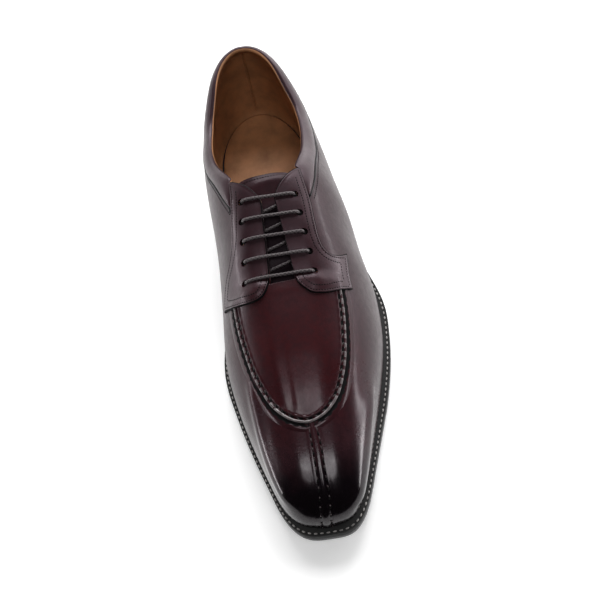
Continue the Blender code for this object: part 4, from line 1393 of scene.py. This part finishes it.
def ring_up_to(ring, end):
    """The spokes of one side from the heel as far as a station, as many on either side of the foot."""
    if end is None:
        return ring
    count = np.count_nonzero(ring.root < end)
    root, swing = np.append(ring.root[:count], end), np.append(ring.swing[:count], 0.0)
    even, steps = np.linspace(0, count, BREAST_SPOKES + 1), np.arange(count + 1)
    side = np.full(len(even), ring.side[0])
    return Spokes(side, np.interp(even, steps, root), np.interp(even, steps, swing))


def sole_section(spokes_count, profile, top, bottom, cross=12, end=None):
    """A plate under the foot as closed cross sections from heel to toe.

    profile lists inset and share of the thickness down the edge, from the top to the bottom.
    """
    inner, outer = (ring_up_to(side_ring(side, spokes_count), end) for side in (MEDIAL, LATERAL))

    def edge(spokes, inset, share):
        x, station = edge_point(spokes, inset if callable(inset) else even_inset(inset))
        return np.stack([x, station, top(station) + (bottom(station) - top(station)) * share], -1)

    outside = [edge(outer, inset, share) for inset, share in profile]
    inside = [edge(inner, inset, share) for inset, share in profile]
    cross_top = [inside[0] + (outside[0] - inside[0]) * i / cross for i in range(1, cross)]
    cross_low = [outside[-1] + (inside[-1] - outside[-1]) * i / cross for i in range(1, cross)]
    loop = [inside[0], *cross_top, *outside, *cross_low, *inside[::-1]]
    return np.stack(loop, 1)


def stitch_inset(side, station):
    """From the sole's edge in to the welt's stitches: the middle of what the upper leaves open."""
    return np.clip(last("margin", station, side) * WELT_ROW_SHARE, *WELT_ROW_LIMITS)


def welt_points():
    """The welt's closed section all round the foot, from under the upper out to its rounded edge and back."""
    ring = full_ring(RING_SPOKES + 40)

    def inner_inset(side, station):
        return feather_inset(side, station) + WELT_UNDER_FOOT

    def beside_stitches(away):
        return lambda side, station: stitch_inset(side, station) + away

    section = [
        (inner_inset, 0.0), (feather_inset, 0.0),
        (beside_stitches(0.7), 0.0), (beside_stitches(0.35), -0.16),
        (beside_stitches(-0.35), -0.16), (beside_stitches(-0.6), 0.0),
        (0.22, -0.12), (0.08, -0.4), (0.0, -0.9), (0.0, -2.3), (0.15, -2.9), (0.5, -3.22),
        (inner_inset, -3.22), (inner_inset, 0.0),
    ]
    rows = []
    for inset, rise in section:
        inset = inset if callable(inset) else even_inset(inset)
        x, station = edge_point(ring, inset)
        rows.append(np.stack([x, station, welt_top(station) + rise], -1))
    return np.stack(rows, 1)


def toe_seam_points():
    """The raised seam from under the apron's lip over the toe to the welt: a bead between two sewn troughs.

    Gives its points, and along it the middle, the half width, the profile and the profile's direction.
    """
    ridge = np.linspace(TOE_SEAM_START, TOE_CENTRE, 30)[:-1]
    ridge = np.stack([ridge, height_over(np.zeros(len(ridge)), ridge)], -1)
    turns = np.linspace(1.0, -0.5, 90)
    nose = Spokes(*(np.full(len(turns), value) for value in (LATERAL, TOE_CENTRE, RIGHT_ANGLE)))
    profile = resample(np.concatenate([ridge, spoke_point(nose, turns)[:, 1:]]), TOE_SEAM_STEPS)
    run = np.gradient(profile, axis=0)
    run /= np.linalg.norm(run, axis=1)[:, None]
    middle, half = SEAM_MIDDLE(profile[:, 0]), SEAM_HALF(profile[:, 0])

    def strand(out, lift):
        ahead, height = profile[:, 0] - run[:, 1] * lift, profile[:, 1] + run[:, 0] * lift
        return np.stack([middle + half * out, ahead, height], -1)

    section = [(-out, lift) for out, lift in TOE_SEAM_SIDE] + [(0.0, TOE_SEAM_CROWN)] + TOE_SEAM_SIDE[::-1]
    section += [(out, -TOE_SEAM_UNDER) for out in TOE_SEAM_BOTTOM]
    columns = [strand(out, lift) for out, lift in section]
    return np.stack([*columns, columns[0]]), middle, half, profile, run


def through_eyelet(here, to_under, to_over):
    """Lace places from under an eyelet up through it, between two plan places that the lace heads for."""
    here = np.asarray(here, float)
    places = [
        (to_under, 3.2, -LACE_UNDER), (to_under, 1.7, 0.2 - LACE_UNDER), (to_under, 0.7, 0.9 - LACE_UNDER),
        (to_under, 0.2, -1.5), (to_over, 0.6, 0.4), (to_over, 0.9, LACE_OVER - 0.9),
        (to_over, 1.7, LACE_OVER - 0.15), (to_over, 3.4, LACE_OVER),
    ]
    run = []
    for target, distance, lift in places:
        step = np.asarray(target, float) - here
        run.append((*(here + step / np.linalg.norm(step) * distance), lift))
    return run


def between(start, end, dip=0.0, count=8):
    """Lace places from one to another without the two ends, dipping in the middle."""
    start, end = np.asarray(start), np.asarray(end)
    shares = [i / count for i in range(1, count)]
    return [tuple(start + (end - start) * u - (0, 0, dip * 4 * u * (1 - u))) for u in shares]


def lace_path():
    """The lace from the lowest outer eyelet: over to the inner side, then under to the next outer eyelet."""
    path = []
    for row in range(EYELET_ROWS - 1, -1, -1):
        out, home, below = eyelet(LATERAL, row), eyelet(MEDIAL, row), eyelet(MEDIAL, row + 1)
        path += through_eyelet(out, below, home)
        path += between(path[-1], through_eyelet(home, out, out)[-1], LACE_SAG)
        if row:
            above = eyelet(LATERAL, row - 1)
            path += through_eyelet(home, above, out)[::-1]
            path += between(path[-1], through_eyelet(above, home, home)[0])
        else:
            path += through_eyelet(home, out, out)[::-1]
    path = np.array(path)
    return over_last(path[:, 0], path[:, 1], path[:, 2])


def tube_points(line, radius, sides=12, close=0.15):
    """Rings of points round a line, closing at both ends."""
    run = np.gradient(line, axis=0)
    run /= np.linalg.norm(run, axis=1)[:, None]
    up = np.array([0.0, 0.0, 1.0])
    rings = []
    for i, (spot, ahead) in enumerate(zip(line, run)):
        up = up - ahead * (up @ ahead)
        up /= np.linalg.norm(up)
        aside = np.cross(ahead, up)
        angle = np.linspace(0, 2 * math.pi, sides + 1)[:, None]
        wide = radius * (close if i in (0, len(line) - 1) else 1.0)
        rings.append(spot + wide * (np.cos(angle) * up + np.sin(angle) * aside))
    return np.stack(rings)


# Settings in the sidebar


def size_setting(name, description, default):
    return bpy.props.FloatProperty(name=name, description=description, default=default, unit="LENGTH")


def colour_setting(name, description, default):
    return bpy.props.FloatVectorProperty(
        name=name, description=description, default=default, subtype="COLOR", min=0, max=1)


def light_setting(name, description, default):
    return bpy.props.FloatProperty(name=name, description=description, default=default, min=0)


class DerbySizes(bpy.types.PropertyGroup):
    lip_width: size_setting("Lip width", "Width of the apron's raised lip", 0.0023)
    lip_height: size_setting("Lip height", "Height of the apron's lip over the vamp", 0.0015)
    facing_thickness: size_setting("Facing thickness", "Thickness of the facings", 0.0014)
    collar_pad: size_setting("Collar padding", "How far the collar band swells", 0.0008)
    piping_radius: size_setting("Piping radius", "Radius of the dark line under the collar", 0.0007)
    lace_radius: size_setting("Lace radius", "Radius of the round lace", 0.001)
    welt_pitch: size_setting("Welt stitch", "Length of one welt stitch", 0.0035)
    hand_pitch: size_setting("Hand stitch", "Length of one stitch on the apron and toe", 0.0050)
    seam_pitch: size_setting("Seam stitch", "Length of one stitch on facings and collar", 0.0016)


class DerbyColours(bpy.types.PropertyGroup):
    leather: colour_setting("Leather", "Brown of the quarters and facings", (0.023, 0.0088, 0.0112))
    leather_red: colour_setting("Red", "Red-brown in the middle of the vamp", (0.033, 0.0057, 0.0068))
    burnish: colour_setting("Burnish", "Near black of the toe and edges", (0.0022, 0.0012, 0.002))
    # Pale colour of the painted highlight on the apron lip's crest
    highlighted: colour_setting("Rubbed", "Paler brown of the apron's rubbed lip", (0.10, 0.075, 0.078))
    sole: colour_setting("Sole", "Black of sole, welt and heel", (0.004, 0.004, 0.0045))
    lining: colour_setting("Lining", "Tan of lining and insole", (0.42, 0.19, 0.08))
    lace: colour_setting("Lace", "Brown of the waxed lace", (0.062, 0.047, 0.051))
    pale_thread: colour_setting("Pale thread", "Grey of the welt stitches", (0.36, 0.34, 0.33))
    dark_thread: colour_setting("Dark thread", "Dark brown of the other stitches", (0.040, 0.026, 0.028))


class DerbyStudio(bpy.types.PropertyGroup):
    floor_colour: colour_setting("Floor", "Colour of the floor", (0.9, 0.9, 0.9))
    floor_glow: light_setting("Floor glow", "How far the floor is lit up from below", 0.24)
    room_light: light_setting("Room light", "Strength of the even light from all round", 0.02)
    wall_light: light_setting("Wall light", "Brightness of the white walls behind and beside the shoe", 1.8)
    key_light: light_setting("Key light", "Brightness of the main light, behind and above the shoe", 10.5)
    top_light: light_setting("Top light", "Brightness of the small lights over toe and apron", 4.8)
    strip_light: light_setting("Strip light", "Brightness of the low strips beside the shoe", 14.0)


# One operator for each piece or group of like pieces


class DERBY_OT_upper(bpy.types.Operator):
    """Upper: one lasted wall of calf with a tan lining, open at collar, throat and underneath"""

    bl_idname = "derby.upper"
    bl_label = "Upper"

    def execute(self, context):
        bm = welded_sheet(upper_wall_points())
        spots = [Vector(place(over_last(*spot))) for spot in all_eyelets()]
        reach = (EYELET_RADIUS + EYELET_ROOM) * MM
        pierced = [
            face for face in bm.faces
            if any((face.calc_center_median() - spot).length < reach for spot in spots)
        ]
        bmesh.ops.delete(bm, geom=pierced, context="FACES")
        within = Vector((0.0, 0.0, 0.04))
        if sum(face.normal.dot(face.calc_center_median() - within) for face in bm.faces) < 0:
            bmesh.ops.reverse_faces(bm, faces=bm.faces)
        finishes = [finish_of("oxblood_calf"), finish_of("tan_lining"), finish_of("cut_edge")]
        upper = make_piece("upper_wall", bm, finishes, ("upper",))
        wall = upper.modifiers.new("wall", "SOLIDIFY")
        wall.thickness = WALL_THICKNESS * MM
        wall.offset = -1.0
        wall.use_even_offset = True
        wall.material_offset = 1
        wall.material_offset_rim = 2
        return {"FINISHED"}


class DERBY_OT_apron(bpy.types.Operator):
    """Apron: the U-shaped top of the vamp with its raised lip, running under the facings into the throat"""

    bl_idname = "derby.apron"
    bl_label = "Apron"

    def execute(self, context):
        outline = apron_outline()
        bm = cut_panel(outline, PANEL_PITCH, insets=LIP_INSETS)
        last_panel(bm, outline, apron_lift, apron_under)
        # The second finish here is painted shade, for the groove beside the lip and the lip's stitch gaps
        calf, ink = finish_of("oxblood_calf"), finish_of("ink_and_painted_shade")
        mark_lip(bm)
        # The second material is the painted highlight on the lip's crest, the third is painted shade
        make_piece("apron_panel", bm, [calf, finish_of("painted_highlight_calf"), ink], ("apron",))
        points = vamp_shoulder_points()
        bm = grid_mesh(points)
        count = round(lengths_along(points[:, 4])[-1] * MM / context.scene.derby_sizes.hand_pitch)
        wave = 2 * math.pi * count
        # The groove's first rows, notched between the hand stitches, take the second material: painted shade
        mark_rows(bm, points.shape[1] - 1,
                  lambda row, along: row < GROOVE_ROWS + GROOVE_NOTCH * math.cos(wave * along))
        weld(bm)
        cap_ends(bm)
        make_piece("vamp_shoulder", bm, [calf, ink])
        return {"FINISHED"}


class DERBY_OT_toe_seam(bpy.types.Operator):
    """Toe seam: a raised bead between two sewn troughs down the middle of the toe"""

    bl_idname = "derby.toe_seam"
    bl_label = "Toe seam"

    def execute(self, context):
        bm = welded_sheet(toe_seam_points()[0], capped=True)
        make_piece("toe_seam_bead", bm, [finish_of("oxblood_calf")], ("toe_seam",))
        return {"FINISHED"}


class DERBY_OT_facings(bpy.types.Operator):
    """Facings: the two eyelet panels over the instep, each with five blind eyelets"""

    bl_idname = "derby.facings"
    bl_label = "Facings"

    def execute(self, context):
        for side in (LATERAL, MEDIAL):
            outline, _ = facing_lines(side)
            bm = cut_panel(outline, PANEL_PITCH, [eyelet(side, row) for row in range(EYELET_ROWS)])
            last_panel(bm, outline, facing_lift, facing_under)
            mark_edge(bm, INKED_EDGE)
            name = "facing_" + SIDE_NAMES[side]
            finishes = [finish_of("brown_trim_calf"), finish_of("ink_and_painted_shade")]
            make_piece(name + "_panel", bm, finishes, (name,))
        return {"FINISHED"}


class DERBY_OT_collar(bpy.types.Operator):
    """Collar: a padded band rolled over the topline, with a dark line along its lower edge"""

    bl_idname = "derby.collar"
    bl_label = "Collar"

    def execute(self, context):
        sizes = context.scene.derby_sizes
        points, lining_from = collar_points(sizes.collar_pad / MM)
        bm = grid_mesh(points)
        mark_rows(bm, points.shape[1] - 1, lambda row, _: row > lining_from)
        weld(bm)
        cap_ends(bm)
        roll = make_piece(
            "collar_roll", bm, [finish_of("brown_trim_calf"), finish_of("tan_lining")],
            ("collar_band",))
        spokes = collar_spokes(COLLAR_END)
        _, low = collar_turns(spokes)
        here, normal, up = wall_frame(spokes, low)
        radius = sizes.piping_radius / MM
        line = here + normal * radius * PIPING_OUT - up * radius * PIPING_DOWN
        line = resample(line, PIPING_STEPS)
        bm = welded_sheet(tube_points(line, radius, 8), capped=True)
        make_piece("collar_piping", bm, [finish_of("edge_ink")])
        return {"FINISHED"}


class DERBY_OT_tongue(bpy.types.Operator):
    """Tongue: a soft panel under the facings"""

    bl_idname = "derby.tongue"
    bl_label = "Tongue"

    def execute(self, context):
        outline = tongue_outline()
        bm = cut_panel(outline, TONGUE_PITCH)
        last_panel(bm, outline, tongue_lift, tongue_under)
        mark_edge(bm, 2 * INKED_EDGE)
        finishes = [finish_of("tongue_calf"), finish_of("ink_and_painted_shade")]
        make_piece("tongue_panel", bm, finishes, ("tongue",))
        return {"FINISHED"}


class DERBY_OT_sole(bpy.types.Operator):
    """Sole: outsole, heel and welt, each with rounded black edges"""

    bl_idname = "derby.sole"
    bl_label = "Sole"

    def execute(self, context):
        tread = LAST_CURVES["tread"]
        outsole = sole_section(RING_SPOKES, OUTSOLE_EDGE, outsole_top, tread)
        heel = sole_section(RING_SPOKES, HEEL_EDGE, lambda s: tread(s) - 0.02, np.zeros_like, end=HEEL_BREAST)
        for name, points, capped, finish, node in (
            ("outsole_plate", outsole, False, "polished_edge", "outsole"),
            ("heel_block", heel, True, "polished_edge", "heel"),
            ("welt_strip", welt_points(), False, "sole_black", "welt"),
        ):
            make_piece(name, welded_sheet(points, capped), [finish_of(finish)], (node,))
        return {"FINISHED"}


class DERBY_OT_insole(bpy.types.Operator):
    """Insole: tan leather under the foot"""

    bl_idname = "derby.insole"
    bl_label = "Insole"

    def execute(self, context):
        def inset(more):
            return lambda side, station: feather_inset(side, station) + WALL_THICKNESS + SEAT_GAP + more

        def top(station):
            return feather_height(station) + INSOLE_THICKNESS

        edge = [(inset(more), share) for more, share in INSOLE_EDGE]
        bm = welded_sheet(sole_section(RING_SPOKES, edge, top, feather_height))
        make_piece("insole_sock", bm, [finish_of("tan_lining")], ("insole",))
        return {"FINISHED"}


class DERBY_OT_lace(bpy.types.Operator):
    """Lace: one round waxed lace in straight bars, its ends hidden under the lowest outer and the top inner
    eyelets
    """

    bl_idname = "derby.lace"
    bl_label = "Lace"

    def execute(self, context):
        line = smooth_line(lace_path(), LACE_PITCH)
        bm = welded_sheet(tube_points(line, context.scene.derby_sizes.lace_radius / MM), capped=True)
        make_piece("lace_cord", bm, [finish_of("waxed_lace")], ("lace",))
        return {"FINISHED"}


class DERBY_OT_stitches(bpy.types.Operator):
    """Stitches: rows on the welt, apron, toe, facings, collar and tongue"""

    bl_idname = "derby.stitches"
    bl_label = "Stitches"

    def execute(self, context):
        sizes = context.scene.derby_sizes
        self.welt(sizes)
        self.apron_and_toe(sizes)
        self.facings(sizes)
        self.collar(sizes)
        return {"FINISHED"}

    def finish(self, name, bm, material):
        bmesh.ops.recalc_face_normals(bm, faces=bm.faces)
        make_piece(name, bm, [finish_of(material)])

    def welt(self, sizes):
        x, station = edge_point(full_ring(RING_SPOKES), stitch_inset)
        line = np.stack([x, station, welt_top(station) - 0.02], -1)
        normals = np.tile((0.0, 0.0, 1.0), (len(line), 1))
        bm = bmesh.new()
        pitch = sizes.welt_pitch / MM
        sew(bm, line, normals, pitch, thread_size(WELT_STITCH, pitch))
        self.finish("welt_stitches", bm, "pale_thread")

    def apron_and_toe(self, sizes):
        pitch = sizes.hand_pitch / MM
        lip = sizes.lip_width / MM
        valley = valley_line()
        thread, holes = bmesh.new(), bmesh.new()
        low = apron_lift(np.full(len(valley), lip), valley[:, 0], valley[:, 1])
        rows = [(*plan_run(valley, low), HAND_STITCH_SLANT, LIP_HOLE)]
        _, middle, half, profile, run = toe_seam_points()
        up = np.stack([np.zeros(len(run)), -run[:, 1], run[:, 0]], -1)
        for way in (-1, 1):
            row = np.stack([middle + half * way, profile[:, 0], profile[:, 1]], -1)
            rows.append((row + up * 0.1, up, 0.0, TOE_HOLE))
        for line, normals, slant, hole in rows:
            # Dark ellipsoids at the stitch holes: painted shade
            sew(holes, line, normals, pitch, hole)
            fine = len(line) * 4
            shifted = resample(line, fine)[round(pitch / 2 / lengths_along(line)[-1] * fine):]
            matching = resample(normals, fine)[-len(shifted):]
            sew(thread, shifted, matching, pitch, thread_size(HAND_STITCH, pitch), slant)
        # Painted shade in the eyelets
        self.eyelet_shade_discs(holes)
        self.finish("hand_stitches", thread, "dark_thread")
        self.finish("stitch_hole_shade", holes, "ink_and_painted_shade")

    def eyelet_shade_discs(self, bm):
        """Dark discs of painted shade under the eyelets, where the wall is pierced."""
        plan = np.array(all_eyelets())
        low, up = plan_run(plan, facing_under(None, plan[:, 0], plan[:, 1]) + 0.25)
        for middle, normal in zip(low, up):
            matrix = stitch_matrix(middle, (0.0, 1.0, 0.0), normal, EYELET_SHADE_DISC)
            bmesh.ops.create_uvsphere(bm, u_segments=12, v_segments=5, radius=MM, matrix=matrix)

    def facings(self, sizes):
        pitch = sizes.seam_pitch / MM
        bm = bmesh.new()
        for side in (LATERAL, MEDIAL):
            outline, lines = facing_lines(side)
            for distance in FACING_ROWS:
                for plan in lines[1:]:
                    plan = offset_line(plan, -distance * side)
                    away = distance_to_outline(plan, outline)
                    plan = plan[away > distance - 0.2]
                    if len(plan) < 3:
                        continue
                    lift = facing_lift(np.full(len(plan), distance), plan[:, 0], plan[:, 1])
                    line, normals = plan_run(plan, lift + 0.02)
                    sew(bm, line, normals, pitch, thread_size(FACING_STITCH, pitch))
        self.finish("facing_stitches", bm, "ink_and_painted_shade")

    def collar(self, sizes):
        pitch = sizes.seam_pitch / MM
        bm = bmesh.new()
        spokes = collar_spokes(COLLAR_END)
        _, station = edge_point(spokes, swell_inset)
        turn = turn_for_height(spokes, COLLAR_HEIGHT(station) - COLLAR_ROW)
        here, normal, _ = wall_frame(spokes, turn)
        sew(bm, here + normal * 0.05, normal, pitch, thread_size(COLLAR_STITCH, pitch))
        half = TONGUE_HALF - TONGUE_ROW_ENDS
        across = np.linspace(-half, half, 60)
        down = TONGUE_TOP + TONGUE_ROW + TONGUE_CORNER * (np.abs(across) / TONGUE_HALF) ** 4
        plan = np.stack([across, down], -1)
        line, normals = plan_run(plan, -TONGUE_DROP + 0.02)
        sew(bm, line, normals, pitch, thread_size(TONGUE_STITCH, pitch))
        self.finish("collar_stitches", bm, "ink_and_painted_shade")


class DERBY_OT_stage(bpy.types.Operator):
    """Stage: camera, pale floor and soft studio light"""

    bl_idname = "derby.stage"
    bl_label = "Stage"

    def execute(self, context):
        studio = context.scene.derby_studio
        self.camera(context)
        self.floor(context)
        self.room(context, studio.room_light)
        for lamp in LIGHTS:
            self.light(context, lamp, getattr(studio, lamp.setting) * lamp.share)
        context.scene.view_settings.view_transform = "Standard"
        return {"FINISHED"}

    def camera(self, context):
        azimuth, elevation = math.radians(CAMERA_AZIMUTH), math.radians(CAMERA_ELEVATION)
        roll = math.radians(CAMERA_ROLL)
        level = math.cos(elevation)
        back = Vector((math.sin(azimuth) * level, -math.cos(azimuth) * level, math.sin(elevation)))
        right = Vector((math.cos(azimuth), math.sin(azimuth), 0.0))
        up = back.cross(right)
        across = right * math.cos(roll) + up * math.sin(roll)
        upward = up * math.cos(roll) - right * math.sin(roll)
        lens = bpy.data.cameras.new("camera")
        lens.lens, lens.sensor_width = CAMERA_LENS, SENSOR_WIDTH
        lens.clip_start, lens.clip_end = 0.01, 20.0
        camera = bpy.data.objects.new("camera", lens)
        camera.matrix_world = Matrix((across, upward, back)).transposed().to_4x4()
        camera.location = CAMERA_PLACE
        context.scene.collection.objects.link(camera)
        context.scene.camera = camera

    def floor(self, context):
        bm = bmesh.new()
        bmesh.ops.create_circle(bm, cap_ends=True, segments=FLOOR_SIDES, radius=FLOOR_RADIUS)
        mesh = bpy.data.meshes.new("floor")
        bm.to_mesh(mesh)
        bm.free()
        mesh.materials.append(finish_of("floor_white"))
        floor = bpy.data.objects.new("floor", mesh)
        context.scene.collection.objects.link(floor)

    def room(self, context, strength):
        world = bpy.data.worlds.new("studio_room")
        world.use_nodes = True
        tree = world.node_tree
        background = tree.nodes["Background"]
        background.inputs["Color"].default_value = (1.0, 1.0, 1.0, 1.0)
        seen = add(tree, "ShaderNodeLightPath").outputs["Is Camera Ray"]
        tree.links.new(ramp(tree, seen, 0.0, 1.0, strength, SEEN_ROOM), background.inputs["Strength"])
        context.scene.world = world

    def light(self, context, row, brightness):
        """A soft rectangle of light that the camera doesn't see."""
        lamp = bpy.data.lights.new(row.name, "AREA")
        lamp.shape = "RECTANGLE"
        lamp.size, lamp.size_y = row.size
        lamp.energy = brightness * math.pi * row.size[0] * row.size[1]
        light = bpy.data.objects.new(row.name, lamp)
        aim = Vector(row.target) - Vector(row.place)
        light.matrix_world = aim.to_track_quat("-Z", "Y").to_matrix().to_4x4()
        light.location = row.place
        light.visible_camera = False
        context.scene.collection.objects.link(light)


class DERBY_PT_panel(bpy.types.Panel):
    """Lists the shoe's sizes, colours and steps"""

    bl_label = "Split-toe derby"
    bl_idname = "DERBY_PT_panel"
    bl_space_type = "VIEW_3D"
    bl_region_type = "UI"
    bl_category = "Derby"

    def draw(self, context):
        for group in ("derby_sizes", "derby_colours", "derby_studio"):
            settings = getattr(context.scene, group)
            for name in settings.__annotations__:
                self.layout.prop(settings, name)
        for step in STEPS:
            self.layout.operator(step.bl_idname)


STEPS = (
    DERBY_OT_stage,
    DERBY_OT_lace,
    DERBY_OT_upper,
    DERBY_OT_apron,
    DERBY_OT_toe_seam,
    DERBY_OT_facings,
    DERBY_OT_collar,
    DERBY_OT_tongue,
    DERBY_OT_sole,
    DERBY_OT_insole,
    DERBY_OT_stitches,
)
GROUPS = {"derby_sizes": DerbySizes, "derby_colours": DerbyColours, "derby_studio": DerbyStudio}


def register():
    for made in (*GROUPS.values(), *STEPS, DERBY_PT_panel):
        bpy.utils.register_class(made)
    for name, group in GROUPS.items():
        setattr(bpy.types.Scene, name, bpy.props.PointerProperty(type=group))


def unregister():
    for name in GROUPS:
        delattr(bpy.types.Scene, name)
    for made in (DERBY_PT_panel, *STEPS[::-1], *GROUPS.values()):
        bpy.utils.unregister_class(made)


def main():
    register()
    for step in STEPS:
        group, name = step.bl_idname.split(".")
        getattr(getattr(bpy.ops, group), name)()
    bpy.context.view_layer.update()


if __name__ == "__main__":
    main()
